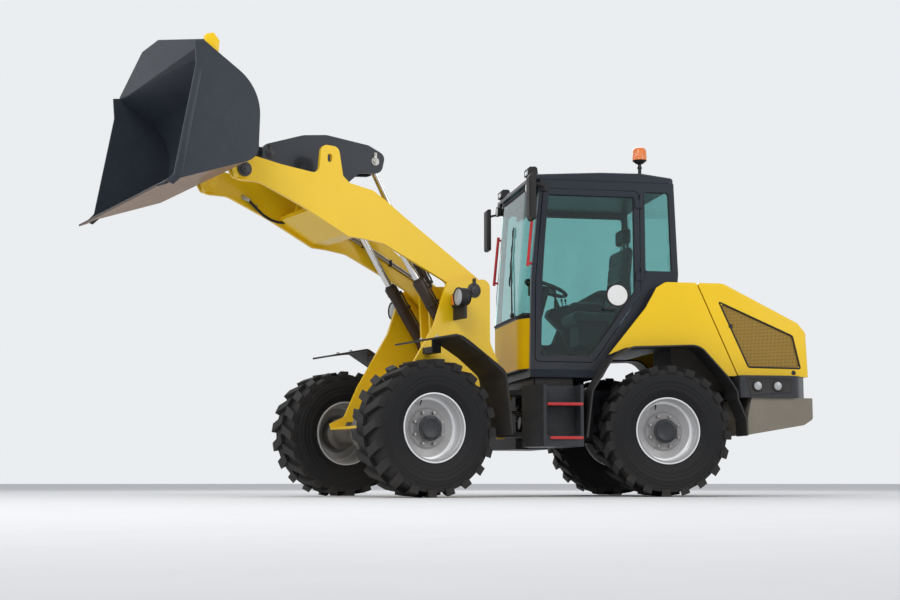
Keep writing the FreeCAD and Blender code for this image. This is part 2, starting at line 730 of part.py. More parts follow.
weight = newBody("counterweight")
pad(weight, "XZ", [
    (-705, 507), (-1200, 590, 60), (-1279, 640, 30), (-1279, 815), (-745, 815), (-705, 640),
], -bumperHalfWidth + 20, bumperHalfWidth - 20)
pocket(weight, "XZ", [[(-600, 400), (-frameRear - 0.3, 400), (-frameRear - 0.3, 830), (-600, 830)]],
       -frameHalfWidth - 0.3, frameHalfWidth + 0.3)
bumper = newBody("rear_bumper")
pad(bumper, "XY", [
    (-636, 560), (-636, bumperHalfWidth, 40), (-1140, bumperHalfWidth, 150), (-bumperRear, 700, 120),
    (-bumperRear, -700, 120), (-1140, -bumperHalfWidth, 150), (-636, -bumperHalfWidth, 40), (-636, -560),
    (-frameRear - 0.3, -560), (-frameRear - 0.3, 560),
], 815.3, 1000)

# Tail lights: two round ones at each corner, in a shallow recess of the bumper.

recessDeep = 12
tailRadius = 36
lights = newBody("tail_lights")
lights.AllowCompound = True
for side in (1, -1):
    low, high = sorted((side * 460, side * 640))
    pocket(bumper, "YZ", [rectangle(low, 868, high, 966)], -bumperRear - 20, -bumperRear + recessDeep)
    for y in (505, 595):
        disc(lights, "YZ", side * y, 917, tailRadius, -bumperRear - 8, -bumperRear + recessDeep - 0.3)

# Hood: a fixed front half over the axle and a tilting rear half with its grilles, both open below.

seamTop = -321
seamLow = -689
hoodBase = 1000.3
hoodFront = newBody("hood_front")
pad(hoodFront, "XZ", [
    (-60, hoodTop, 60), (seamTop, hoodTop), (seamLow + 20, hoodBase), (-560, hoodBase),
    (-300, 1250, 120), (300, 1225, 120), (442, 1165), (120, 1560, 200), (20, 1735),
], -hoodHalfWidth, hoodHalfWidth)
pocket(hoodFront, "XZ", [[
    (600, 900), (600, 1900), (-214, 1900), (-214, hoodTop - hoodWall), (-700, hoodTop - hoodWall),
    (-900, 900),
]], -hoodHalfWidth + hoodWall, hoodHalfWidth - hoodWall)
hoodEdge = 20


def alongHood(box, above):
    """An edge in the hood's outer side face that lies wholly above a height."""
    side = plain(hoodHalfWidth)
    return abs(abs(box.YMax) - side) < 0.1 and abs(abs(box.YMin) - side) < 0.1 and box.ZMin > above


roundEdges(hoodFront, hoodEdge, lambda box: alongHood(box, plain(hoodTop) - 55))

# Rear fenders: a bent flare under each arch of the hood.

fenders = newBody("rear_fenders")
fenders.AllowCompound = True
for side in (1, -1):
    low, high = sorted((side * 686, side * (plain(bumperHalfWidth) - 5)))
    pad(fenders, "XZ", [
        (-545, 984), (-298, 1249.7, 160), (270, 1226), (452, 1132), (628, 860), (676, 480), (664, 478),
        (617, 855), (443, 1123), (266, 1213), (-294, 1237, 150), (-536, 976), (-612, 866), (-616, 800),
        (-683, 640), (-690, 500), (-702, 500), (-695, 642), (-628, 803), (-623, 866),
    ], low, high)

engineHood = newBody("engine_hood")
pad(engineHood, "XZ", [
    (seamTop - seamGap, hoodTop), (-563, hoodTop, 120), (-1221, 1458, 60), (-hoodRear, 1378, 40),
    (-hoodRear - 15, hoodBase), (seamLow - seamGap + 20, hoodBase),
], -hoodHalfWidth, hoodHalfWidth)
roundEdges(engineHood, hoodEdge, lambda box: alongHood(box, 1360))
pocket(engineHood, "XZ", [[
    (seamTop + 60, hoodTop - hoodWall), (-570, hoodTop - hoodWall, 100), (-1215, 1432, 50),
    (-hoodRear + hoodWall, 1368, 20), (-hoodRear + hoodWall - 15, hoodBase - 20), (0, hoodBase - 20),
]], -hoodHalfWidth + hoodWall, hoodHalfWidth - hoodWall)
grilleRearHalf = 520
pocket(engineHood, "YZ", [rectangle(-grilleRearHalf, 1080, grilleRearHalf, 1330)], -1400, -1200)
grilleRear = newBody("grille_rear")
pad(grilleRear, "XZ", [(-1287.9, 1329.7), (-1277.9, 1329.7), (-1287.8, 1080.3), (-1297.8, 1080.3)],
    -grilleRearHalf + 0.3, grilleRearHalf - 0.3)
grilleOutline = [(-520, 1622, 20), (-1167, 1346, 20), (-1231, 1071, 30), (-770, 1077, 30)]
pocket(engineHood, "XZ", [grilleOutline], -hoodHalfWidth - 5, hoodHalfWidth + 5)
for label, side in (("grille_left", 1), ("grille_right", -1)):
    grille = newBody(label)
    low, high = sorted((side * (plain(hoodHalfWidth) - 20), side * (plain(hoodHalfWidth) - 8)))
    centreU = (-520 - 1167 - 1231 - 770) / 4
    centreV = (1622 + 1346 + 1071 + 1077) / 4
    inset = [(centreU + (u - centreU) * 0.998, centreV + (v - centreV) * 0.998, radius)
             for u, v, radius in grilleOutline]
    pad(grille, "XZ", inset, low, high)
engine = newBody("engine")
pad(engine, "XZ", rectangle(-1020, 720, -280, 1330, 40), -inner + 0.3, inner - 0.3)

# Cab: base with floor, posts and roof as shells, open inside.

cabInner = cabHalfWidth - cabWall
deckTop = 1290
sillTop = 1500
cabBase = newBody("cab_base")
pad(cabBase, "XZ", [
    (cabRear, 1240), (320, 1240), (470, 980), (cabFront, 980), (cabFront, cabFloor), (500, cabFloor),
    (350, deckTop), (cabRear, deckTop),
], -cabHalfWidth, cabHalfWidth)
screenEdge = cabInner - 1
frontBow = [(1045, -screenEdge), (1140, -480, 300), (1140, 480, 300), (1045, screenEdge)]
pad(cabBase, "XY", frontBow + [(1005, screenEdge), (1100, 460, 260), (1100, -460, 260), (1005, -screenEdge)],
    cabFloor - 1, sillTop)
pad(cabBase, "XZ", rectangle(cabRear, deckTop - 1, cabRear + 40, 1700), -cabInner + 0.3, cabInner - 0.3)

for x in (550, 880):
    for y in (-225, 225):
        disc(cabBase, "XY", x, y, 45, frameTop + 0.3, 981)

windscreen = newBody("windscreen")
screen = pad(windscreen, "XY",
             frontBow + [(1038, screenEdge), (1133, 476, 294), (1133, -476, 294), (1038, -screenEdge)],
             sillTop + 0.3, cabTop - 42)
screen.UseCustomVector = True
screen.Direction = Vector(-0.0773, 0, 1)
doc.recompute()

rearWindow = newBody("rear_window")
pad(rearWindow, "XZ", [
    (-190, 1700.3), (-198, 1860), (-170, 2597), (-164, 2597), (-192, 1860), (-184, 1700.3),
], -cabInner + 0.5, cabInner - 0.5)


def grow(points, distance):
    """The outline moved outward by a distance, corner by corner; the points run clockwise."""
    grown = []
    for index, point in enumerate(points):
        here = Vector(plain(point[0]), plain(point[1]), 0)
        back = points[index - 1]
        ahead = points[(index + 1) % len(points)]
        before = (here - Vector(plain(back[0]), plain(back[1]), 0)).normalize()
        after = (Vector(plain(ahead[0]), plain(ahead[1]), 0) - here).normalize()
        outBefore = Vector(-before.y, before.x, 0)
        outAfter = Vector(-after.y, after.x, 0)
        bisector = (outBefore + outAfter).normalize()
        moved = here + bisector * (distance / bisector.dot(outBefore))
        radius = point[2] + distance if len(point) > 2 else 0
        grown.append((moved.x, moved.y, max(radius, 0)))
    return grown


# Side frames with the door opening, the quarter window and the right-hand window.

doorOutline = [
    (545, 1110, 30), (postHinge + 20, 1690, 60), (postHinge + 20, doorTop, 50), (962, doorTop, 60),
    (1030, 1815, 300), (1042, 1110, 40),
]
quarterOutline = [(-152, 1880, 30), (-132, doorTop, 30), (85, doorTop, 30), (85, 1880, 30)]
rightOutline = [
    (-152, 1880, 40), (-132, doorTop, 40), (962, doorTop, 60), (1030, 1815, 300), (1030, 1360, 60),
    (560, 1360, 80), (420, 1700, 120), (100, 1880, 120),
]
cabFrame = newBody("cab_frame")
pad(cabFrame, "XZ", [
    (cabRear, deckTop + 0.3), (-205, 1860), (-176, cabTop - 0.3), (988, cabTop - 0.3), (1004, 2486),
    (1070, 1815, 300), (1084, cabFloor + 0.3), (500.2, cabFloor + 0.3), (350.2, deckTop + 0.3),
], -cabHalfWidth, cabHalfWidth)
pocket(cabFrame, "XZ", [rectangle(-400, 900, 1300, cabTop - 41)], -cabInner, cabInner)
pocket(cabFrame, "XZ", [grow(doorOutline, plain(doorGap)), quarterOutline], cabInner - 5, cabHalfWidth + 5)
pocket(cabFrame, "XZ", [rightOutline], -cabHalfWidth - 5, -cabInner + 5)

quarter = newBody("quarter_window")
pad(quarter, "XZ", grow(quarterOutline, -0.3), cabHalfWidth - 20, cabHalfWidth - 20 + glassThick)
rightWindow = newBody("right_window")
pad(rightWindow, "XZ", grow(rightOutline, -0.3), -cabHalfWidth + 20 - glassThick, -cabHalfWidth + 20)

door = newBody("door_frame")
pad(door, "XZ", doorOutline, cabInner + 2, cabHalfWidth + 3)
paneOutline = grow(doorOutline, -48)
pocket(door, "XZ", [paneOutline], cabInner - 5, cabHalfWidth + 10)
hingeX = postHinge + 8
hingeY = cabHalfWidth + 14
for z in (1800, 2420):
    disc(door, "XY", hingeX, hingeY, 11, z, z + 70)
    pad(door, "XY", rectangle(hingeX, cabHalfWidth + 2, hingeX + 52, hingeY + 2), z, z + 70)
    disc(cabFrame, "XY", hingeX, hingeY, 11, z + 70.3, z + 110)
    pad(cabFrame, "XY", rectangle(hingeX - 28, cabHalfWidth - 1, hingeX, hingeY + 2), z + 70.3, z + 110)
pane = newBody("door_glass")
pad(pane, "XZ", grow(paneOutline, -0.3), cabHalfWidth - 20, cabHalfWidth - 20 + glassThick)

roof = newBody("cab_roof")
pad(roof, "XZ", [
    (cabRear - 30, cabTop), (cabRear - 30, cabTop + 50, 25), (100, cabTop + roofThick - 6, 200),
    (460, cabTop + roofThick - 10), (790, cabTop + 60, 200), (1062, cabTop + 43, 20), (1062, cabTop),
], -cabHalfWidth - 5, cabHalfWidth + 5)

roundEdges(roof, 40, lambda box: box.ZMax - box.ZMin > 20 and box.XMax - box.XMin < 1
           and box.YMax - box.YMin < 1)

roofLights = newBody("roof_lights")
roofLights.AllowCompound = True
for low, high in ((450, 590), (-590, -450)):
    pad(roofLights, "XZ", [
        (985, cabTop + 48.3), (1054, cabTop + 44), (1066, cabTop + 120, 12), (992, cabTop + 124, 25),
    ], low, high)

railRadius = 13
railOffset = 35
rails = newBody("handrails")
rails.AllowCompound = True
for y in (658, -658):
    disc(rails, "XY", railOffset, y, railRadius, 0, 450)
    for z in (25, 425):
        disc(rails, "YZ", y, z, 10, 0.8, railOffset)
rails.Placement = Placement(Vector(1061.6, 0, 1900), Rotation(Vector(0, 1, 0), -5.617))

beacon = newBody("beacon")
for radius, low, high in ((62, cabTop + roofThick - 6, 2790), (52, 2789, 2960), (34, 2959, 2985)):
    disc(beacon, "XY", 63, 500, radius, low, high)

mirrors = newBody("mirrors")
mirrors.AllowCompound = True
for side in (1, -1):
    low, high = sorted((side * 790, side * 950))
    pad(mirrors, "XZ", [(1090, 2250, 15), (1085, 2640, 15), (1125, 2640, 15), (1130, 2250, 15)], low, high)
    low, high = sorted((side * (plain(cabHalfWidth) + 0.3), side * 792))
    pad(mirrors, "XZ", rectangle(960, 2560, 1118, 2585), low, high)

# Seat, steering column and wheel.

seatX = 330
seatBase = newBody("seat_base")
pad(seatBase, "XY", rectangle(seatX - 180, -170, seatX + 190, 170, 30), deckTop + 0.3, deckTop + 190)
cushion = newBody("seat_cushion")
pad(cushion, "XZ", [
    (seatX - 240, 1480.6), (seatX + 270, 1480.6, 40), (seatX + 280, 1590, 50), (seatX - 240, 1570, 40),
], -250, 250)
back = newBody("seat_back")
pad(back, "XZ", [
    (seatX - 245, 1570.3), (seatX - 140, 1574.2), (seatX - 200, 2180, 50), (seatX - 300, 2180, 50),
], -240, 240)
column = newBody("steering_column")
pad(column, "XZ", [
    (820, cabFloor + 0.3), (960, cabFloor + 0.3), (900, 1500), (800, 1790), (762, 1778), (845, 1480),
], -70, 70)
wheelBody = newBody("steering_wheel")
tilted = Placement(Vector(775, 0, 1805), Rotation(Vector(0, 1, 0), -20))
sketch = newSketch(wheelBody, "XZ")
addOutline(sketch, [(185 + u, v) for u, v in ((-14, -6), (-6, -14), (6, -14), (14, -6), (14, 6), (6, 14),
                                              (-6, 14), (-14, 6))])
ring = wheelBody.newObject("PartDesign::Revolution", "Ring")
ring.Profile = (sketch, [""])
ring.ReferenceAxis = (sketch, ["V_Axis"])
ring.Angle = 360
wheelBody.Tip = ring
doc.recompute()
disc(wheelBody, "XY", 0, 0, 45, -20, 8)
pad(wheelBody, "XY", rectangle(-178, -16, 178, 16), -6, 4)
wheelBody.Placement = tilted

# Side boxes below the cab: steps on the left, a plain tank on the right.

boxRear = 700
for label, side in (("step_box", 1), ("side_tank", -1)):
    body = newBody(label)
    pad(body, "XY", [
        (boxRear, side * (frameHalfWidth + 0.3)), (990, side * (frameHalfWidth + 0.3)), (1160, side * 690),
        (1030, side * 900), (boxRear, side * 920),
    ], 405, 905)
    if side > 0:
        pocket(body, "XZ", [rectangle(boxRear + 25, 490, 1005, 735, 20), rectangle(boxRear + 25, 762, 1005, 930)],
               740, 940)

# Steering cylinder between the frames, on the left of the hinge. Its rod's eye lies between two ears.

steerPinX = 640
steerPinY = 120
steerZ = 700
eyeForward = 150
eyeLeft = 215
steerEye = 30
pad(rearFrame, "XY", rectangle(steerPinX - 50, steerPinY - 60, steerPinX + 50, frameHalfWidth - 20),
    steerZ - 60, steerZ - 40)
pad(rearFrame, "XY", rectangle(steerPinX - 50, steerPinY - 60, steerPinX + 50, frameHalfWidth - 20),
    steerZ + 40, steerZ + 60)
disc(rearFrame, "XY", steerPinX, steerPinY, 20, steerZ - 68, steerZ + 68)
pocket(rearFrame, "YZ", [rectangle(60, steerZ - 50, 244, steerZ + 50, 15)], frameFront - framePlate - 5,
       frameFront + 5)
pocket(frontFrame, "YZ", [rectangle(120, steerZ - 44, 315, steerZ + 44, 15)], towerRear - 5, towerRear + 35)
ear = [
    (articulationX + eyeForward - 45, eyeLeft - 40, 30), (articulationX + eyeForward - 45, eyeLeft + 40, 20),
    (articulationX + eyeForward + 90, towerInner + 3), (articulationX + eyeForward + 260, towerInner + 3),
    (articulationX + eyeForward + 45, eyeLeft - 40, 30),
]
for low, high, stubLow, stubHigh in ((-60, -45, -46, -35.5), (45, 60, 35.5, 46)):
    pad(frontFrame, "XY", ear, steerZ + low, steerZ + high)
    disc(frontFrame, "XY", articulationX + eyeForward, eyeLeft, 24, steerZ + stubLow, steerZ + stubHigh)

turn = Rotation(Vector(0, 0, 1), plain(steerRest))
eyeAtRest = Vector(plain(articulationX), 0, 0) + turn.multVec(Vector(eyeForward, eyeLeft, 0))
steerRun = eyeAtRest - Vector(steerPinX, steerPinY, 0)
steerLength = steerRun.Length
steerAim = Placement(Vector(steerPinX, steerPinY, steerZ),
                     Rotation(Vector(0, 0, 1), math.degrees(math.atan2(steerRun.y, steerRun.x))))
steerBarrel = newBody("steering_barrel")
disc(steerBarrel, "XY", 0, 0, 38, -steerEye, steerEye)
disc(steerBarrel, "YZ", 0, 0, 32, 25, 400)
bore(steerBarrel, "XY", 0, 0, 20.3, -steerEye - 5, steerEye + 5)
bore(steerBarrel, "YZ", 0, 0, 18.5, 60, 410)
steerBarrel.Placement = steerAim
steerRod = newBody("steering_rod")
disc(steerRod, "YZ", 0, 0, 18, 150, steerLength - 20)
disc(steerRod, "XY", steerLength, 0, 34, -steerEye, steerEye)
steerRod.Placement = steerAim

# Tow coupling at the rear.

tow = newBody("tow_coupling")
pad(tow, "XZ", rectangle(-1345, 670, -1279.3, 790), -70, 70)
pocket(tow, "XZ", [rectangle(-1350, 702, -1295, 758)], -80, 80)
bore(tow, "XY", -1318, 0, 16, 600, 800)

# The front frame and all that it carries stand turned at the articulation, then everything is set so that
# the origin is the middle of the footprint.

doc.recompute()
turned = Placement(Vector(), turn, Vector(plain(articulationX), 0, 0))
footprint = FreeCAD.BoundBox()
for part in subParts:
    if part.Label in frontNames:
        part.Placement = turned * part.Placement
for part in subParts:
    footprint.add(part.Shape.optimalBoundingBox(False))
toMiddle = Placement(Vector(-footprint.Center.x, -footprint.Center.y, -footprint.ZMin), Rotation())
for part in subParts:
    part.Placement = toMiddle * part.Placement
doc.recompute()

for feature in doc.Objects:
    if "Invalid" in feature.State or "Error" in feature.State:
        raise RuntimeError("failed: " + feature.Label)
for part in subParts:
    if part.Shape.isNull() or not part.Shape.isValid():
        raise RuntimeError("bad shape: " + part.Label)

os.makedirs("parts", exist_ok=True)
for part in subParts:
    part.Shape.exportStep("parts/%s.step" % part.Label)
print("shift", round(toMiddle.Base.x, 4), round(toMiddle.Base.y, 4), round(toMiddle.Base.z, 4))
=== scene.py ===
import math
import bpy
from mathutils import Matrix, Vector


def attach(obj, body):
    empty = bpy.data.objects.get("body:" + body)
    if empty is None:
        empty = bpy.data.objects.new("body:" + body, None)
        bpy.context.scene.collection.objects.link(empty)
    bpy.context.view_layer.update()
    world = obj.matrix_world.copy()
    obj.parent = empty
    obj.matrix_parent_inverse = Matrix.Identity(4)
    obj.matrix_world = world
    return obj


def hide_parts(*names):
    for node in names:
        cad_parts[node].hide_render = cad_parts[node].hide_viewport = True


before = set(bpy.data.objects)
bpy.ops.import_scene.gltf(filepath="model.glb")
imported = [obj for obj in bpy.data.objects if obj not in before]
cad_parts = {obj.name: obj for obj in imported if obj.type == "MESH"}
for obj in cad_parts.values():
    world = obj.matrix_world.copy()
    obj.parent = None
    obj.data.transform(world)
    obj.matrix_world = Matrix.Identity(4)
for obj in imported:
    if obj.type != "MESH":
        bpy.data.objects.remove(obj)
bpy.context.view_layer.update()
print("frame loaded,", len(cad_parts), "solids")

# The machine is described from the ground point under its rear axle, x forward, y to its left.
# Front pieces are written as if the front frame stood straight, then turned about the hinge.
layout = {
    "shift": (-1.708731, -0.52717, -0.000133),
    "hinge": (1.182, 0, 0),
    "steer": math.radians(18.9),
    "wheelbase": 2.364,
    "halfTrack": 0.785,
    "axleHeight": 0.535,
}
toWorld = Matrix.Translation(layout["shift"])
hinge = Vector(layout["hinge"])
rearPlace = toWorld
frontPlace = toWorld @ Matrix.Translation(hinge) @ Matrix.Rotation(layout["steer"], 4, "Z") @ Matrix.Translation(-hinge)


# camera first: low on the ground, three quarters along the left side
view = {"spot": (2.342, 12.349, 0.12), "aim": (0.02, 0, 1.62), "lens": 61}
cameraData = bpy.data.cameras.new("camera")
camera = bpy.data.objects.new("camera", cameraData)
bpy.context.scene.collection.objects.link(camera)
camera.location = view["spot"]
camera.rotation_euler = (Vector(view["aim"]) - Vector(view["spot"])).to_track_quat("-Z", "Y").to_euler()
cameraData.lens = view["lens"]
cameraData.clip_end = 200
bpy.context.scene.camera = camera
bpy.context.scene.view_settings.view_transform = "Standard"


# shader helpers
class Wire:
    # a node socket that can be used in plain sums
    def __init__(self, tree, socket):
        self.tree = tree
        self.socket = socket

    def calc(self, operation, other=0.0, swap=False):
        step = self.tree.nodes.new("ShaderNodeMath")
        step.operation = operation
        pair = (other, self) if swap else (self, other)
        for place, value in enumerate(pair):
            if isinstance(value, Wire):
                self.tree.links.new(value.socket, step.inputs[place])
            else:
                step.inputs[place].default_value = value
        return Wire(self.tree, step.outputs[0])

    def __add__(self, other):
        return self.calc("ADD", other)

    def __radd__(self, other):
        return self.calc("ADD", other)

    def __sub__(self, other):
        return self.calc("SUBTRACT", other)

    def __rsub__(self, other):
        return self.calc("SUBTRACT", other, True)

    def __mul__(self, other):
        return self.calc("MULTIPLY", other)

    def __rmul__(self, other):
        return self.calc("MULTIPLY", other)

    def __truediv__(self, other):
        return self.calc("DIVIDE", other)

    def __gt__(self, other):
        return self.calc("GREATER_THAN", other)

    def __lt__(self, other):
        return self.calc("LESS_THAN", other)

    def above(self, edge, width):
        # 0 below the edge, 1 over it, soft in between
        rise = (self - (edge - width)) / (2 * width)
        rise.socket.node.use_clamp = True
        return rise


class Finish:
    # one material with its object coordinates at hand
    def __init__(self, name):
        self.material = bpy.data.materials.new(name)
        self.material.use_nodes = True
        self.tree = self.material.node_tree
        self.shader = self.tree.nodes["Principled BSDF"]
        coordinates = self.node("ShaderNodeTexCoord")
        self.place = self.wire(coordinates, "Object")
        self.facing = self.wire(coordinates, "Normal")

    def wire(self, node, output=0):
        return Wire(self.tree, node.outputs[output])

    def node(self, kind, settings=None, sockets=None):
        made = self.tree.nodes.new(kind)
        for name, value in (settings or {}).items():
            if name == "stops":
                ramp = made.color_ramp
                while len(ramp.elements) < len(value):
                    ramp.elements.new(0.5)
                for element, (position, color) in zip(ramp.elements, value):
                    element.position = position
                    element.color = (*color, 1)
            else:
                setattr(made, name, value)
        for name, value in (sockets or {}).items():
            if isinstance(value, Wire):
                self.tree.links.new(value.socket, made.inputs[name])
            else:
                made.inputs[name].default_value = value
        return made

    def mapped(self, scale=(1, 1, 1), turn=(0, 0, 0), move=(0, 0, 0)):
        return self.wire(self.node("ShaderNodeMapping", {}, {
            "Vector": self.place, "Scale": scale, "Rotation": turn, "Location": move}))

    def noise(self, scale, detail=3, roughness=0.55, stretch=None):
        source = self.mapped(stretch) if stretch else self.place
        return self.wire(self.node("ShaderNodeTexNoise", {}, {
            "Vector": source, "Scale": scale, "Detail": detail, "Roughness": roughness}))

    def cells(self, scale, feature="F1", vector=None):
        made = self.node("ShaderNodeTexVoronoi", {"feature": feature}, {
            "Vector": vector or self.place, "Scale": scale})
        return self.wire(made, "Distance")

    def axis(self, vector, name):
        return self.wire(self.node("ShaderNodeSeparateXYZ", {}, {0: vector}), name)

    def mix(self, share, first, second):
        made = self.node("ShaderNodeMix", {"data_type": "RGBA"}, {0: share})
        for place, color in ((6, first), (7, second)):
            if isinstance(color, Wire):
                self.tree.links.new(color.socket, made.inputs[place])
            else:
                made.inputs[place].default_value = (*color, 1)
        return Wire(self.tree, made.outputs[2])

    def bump(self, height, strength, distance=0.002, base=None):
        sockets = {"Height": height, "Strength": strength, "Distance": distance}
        if base:
            sockets["Normal"] = base
        return self.wire(self.node("ShaderNodeBump", {}, sockets))

    def set(self, **values):
        names = {"color": "Base Color", "rough": "Roughness", "metal": "Metallic", "coat": "Coat Weight",
                 "normal": "Normal", "alpha": "Alpha", "ior": "IOR", "coatRough": "Coat Roughness",
                 "through": "Transmission Weight", "glow": "Emission Color", "glowPower": "Emission Strength",
                 "sheen": "Sheen Weight", "shine": "Specular IOR Level"}
        for key, value in values.items():
            socket = self.shader.inputs[names[key]]
            if isinstance(value, Wire):
                self.tree.links.new(value.socket, socket)
            elif isinstance(value, tuple):
                socket.default_value = (*value, 1)
            else:
                socket.default_value = value
        return self


def makePaint(name, color, settings):
    # gloss paint: faint clouding, fine orange peel, dust low down and in the rubbed places
    finish = Finish(name)
    height = finish.axis(finish.place, "Z")
    clouds = finish.noise(1.7, 4)
    grime = finish.noise(9, 6, 0.7)
    specks = finish.noise(140, 2)
    low = 1 - height.above(settings["dustTop"], settings["dustTop"])
    dust = (low * settings["dust"] + settings["film"]) * (grime + 0.35) + (specks - 0.62) * 0.5 * low
    dust.socket.node.use_clamp = True
    deep = tuple(part * settings["deep"] for part in color)
    shaded = finish.mix(clouds, deep, color)
    finish.set(color=finish.mix(dust, shaded, settings["dustColor"]),
               rough=settings["rough"] + grime * 0.12 + dust * 0.35,
               coat=settings["coat"] * (1 - dust), coatRough=0.12, metal=0.0, shine=0.22,
               normal=finish.bump(finish.noise(420, 1), 0.035, 0.001,
                                  finish.bump(grime, 0.03, 0.002)))
    return finish


def makePlain(name, color, rough, grain=260, strength=0.2, metal=0.0, vary=0.25, dust=0.25):
    # moulded or cast surface with a fine grain and some dust
    finish = Finish(name)
    grime = finish.noise(11, 5, 0.7)
    clouds = finish.noise(3, 3)
    low = 1 - finish.axis(finish.place, "Z").above(0.8, 0.9)
    share = (grime * low * dust + clouds * dust * 0.2)
    share.socket.node.use_clamp = True
    dark = tuple(part * (1 - vary) for part in color)
    light = tuple(min(part * (1 + vary), 1) for part in color)
    finish.set(color=finish.mix(share, finish.mix(clouds, dark, light), (0.23, 0.2, 0.165)),
               rough=rough + (grime - 0.5) * 0.2, metal=metal, shine=0.25,
               normal=finish.bump(finish.noise(grain, 2), strength, 0.001))
    return finish


dustColor = (0.36, 0.3, 0.22)
yellowPaint = makePaint("yellowPaint", (0.9, 0.58, 0.006), {
    "dustTop": 0.75, "dust": 0.3, "film": 0.012, "dustColor": dustColor, "deep": 0.88, "rough": 0.26, "coat": 0.22})
darkPaint = makePaint("darkPaint", (0.016, 0.022, 0.033), {
    "dustTop": 0.85, "dust": 0.26, "film": 0.012, "dustColor": (0.2, 0.175, 0.14), "deep": 0.7, "rough": 0.32,
    "coat": 0.14})
redPaint = makePaint("redPaint", (0.55, 0.02, 0.025), {
    "dustTop": 0.6, "dust": 0.2, "film": 0.02, "dustColor": dustColor, "deep": 0.8, "rough": 0.3, "coat": 0.2})
cylinderPaint = makePaint("cylinderPaint", (0.035, 0.02, 0.014), {
    "dustTop": 1.2, "dust": 0.2, "film": 0.03, "dustColor": (0.2, 0.16, 0.12), "deep": 0.7, "rough": 0.32,
    "coat": 0.18})
blackPlastic = makePlain("blackPlastic", (0.018, 0.018, 0.02), 0.55)
castGrey = makePlain("castGrey", (0.12, 0.115, 0.105), 0.62, grain=90, strength=0.5, vary=0.35, dust=0.5)
weightGrey = makePlain("weightGrey", (0.2, 0.178, 0.142), 0.7, grain=90, strength=0.4, vary=0.25, dust=0.5)
darkSteel = makePlain("darkSteel", (0.045, 0.045, 0.048), 0.42, metal=0.6, grain=300, strength=0.1)
zincSteel = makePlain("zincSteel", (0.42, 0.41, 0.39), 0.35, metal=0.9, grain=200, strength=0.12, vary=0.15)
sealRubber = makePlain("sealRubber", (0.01, 0.01, 0.011), 0.6, grain=400, strength=0.2)
hoseRubber = makePlain("hoseRubber", (0.012, 0.012, 0.013), 0.5, grain=700, strength=0.3)


def makeCabBase():
    # the cab's front wall below the windscreen is yellow, the rest anthracite
    finish = makePlain("cabBasePaint", (0.016, 0.022, 0.033), 0.36, dust=0.15)
    z = finish.axis(finish.place, "Z")
    x = finish.axis(finish.place, "X")
    front = (z > 1.055) * (z < 1.475) * (x > layout["shift"][0] + 1.0)
    clouds = finish.noise(2, 4)
    yellow = finish.mix(clouds, (0.66, 0.4, 0.005), (0.86, 0.54, 0.006))
    base = Wire(finish.tree, finish.shader.inputs["Base Color"].links[0].from_socket)
    finish.set(color=finish.mix(front, base, yellow), shine=0.06)
    return finish


def makeBucketPaint():
    # dark paint, scratched bright inside, worn to brown steel below and along the lip
    finish = Finish("bucketPaint")
    down = finish.axis(finish.facing, "Z") * -1
    streaks = finish.noise(5, 6, 0.75, stretch=(1, 1, 5))
    blotches = finish.noise(3.2, 5, 0.65)
    scratches = finish.noise(40, 4, 0.8, stretch=(1, 7, 1))
    outer = 1 - finish.axis(finish.place, "Z").above(2.62, 0.16)
    under = down.above(0.5, 0.2) * outer * (0.62 + streaks * 0.6)
    under.socket.node.use_clamp = True
    bright = scratches.above(0.66, 0.05) * blotches.above(0.55, 0.1)
    paint = finish.mix(blotches, (0.013, 0.017, 0.025), (0.03, 0.038, 0.05))
    worn = finish.mix(streaks, (0.12, 0.058, 0.028), (0.44, 0.27, 0.15))
    rubbed = finish.mix(bright * 0.5, paint, (0.22, 0.2, 0.19))
    finish.set(color=finish.mix(under, rubbed, worn), rough=0.36 + under * 0.2 + streaks * 0.1,
               metal=bright * 0.4, coat=0.1, shine=0.3,
               normal=finish.bump(scratches, 0.12, 0.002, finish.bump(blotches, 0.1, 0.004)))
    return finish


def makeGlass(name, tint):
    finish = Finish(name)
    smear = finish.noise(6, 4, 0.6)
    finish.set(color=finish.mix(smear, tint, tuple(min(part * 1.12, 1) for part in tint)),
               rough=smear * 0.01, through=1.0, ior=1.08, coat=0.6, coatRough=0.02)
    return finish


def makeRubber(name, centre, turn):
    # tread black, sidewall with moulded rings, dust where the rubber meets the ground
    finish = Finish(name)
    local = finish.wire(finish.node("ShaderNodeMapping", {"vector_type": "TEXTURE"}, {
        "Vector": finish.place, "Location": centre, "Rotation": (0, 0, turn)}))
    across = finish.axis(local, "Y")
    x = finish.axis(local, "X")
    z = finish.axis(local, "Z")
    radius = (x * x + z * z).calc("SQRT")
    rings = (radius * 190).calc("SINE") * radius.above(0.33, 0.01) * (1 - radius.above(0.47, 0.01))
    grime = finish.noise(14, 6, 0.7)
    fine = finish.noise(190, 2)
    ground = 1 - finish.axis(finish.place, "Z").above(0.25, 0.2)
    dusty = (radius.above(0.5, 0.06) * 0.4 + 0.06) * (grime + 0.1) + ground * 0.15
    dusty.socket.node.use_clamp = True
    finish.set(color=finish.mix(dusty * 0.5, (0.009, 0.0095, 0.011), (0.15, 0.13, 0.11)),
               rough=0.66 + (grime - 0.5) * 0.2, shine=0.2,
               normal=finish.bump(rings, 0.35, 0.003, finish.bump(fine, 0.25, 0.001)))
    return finish


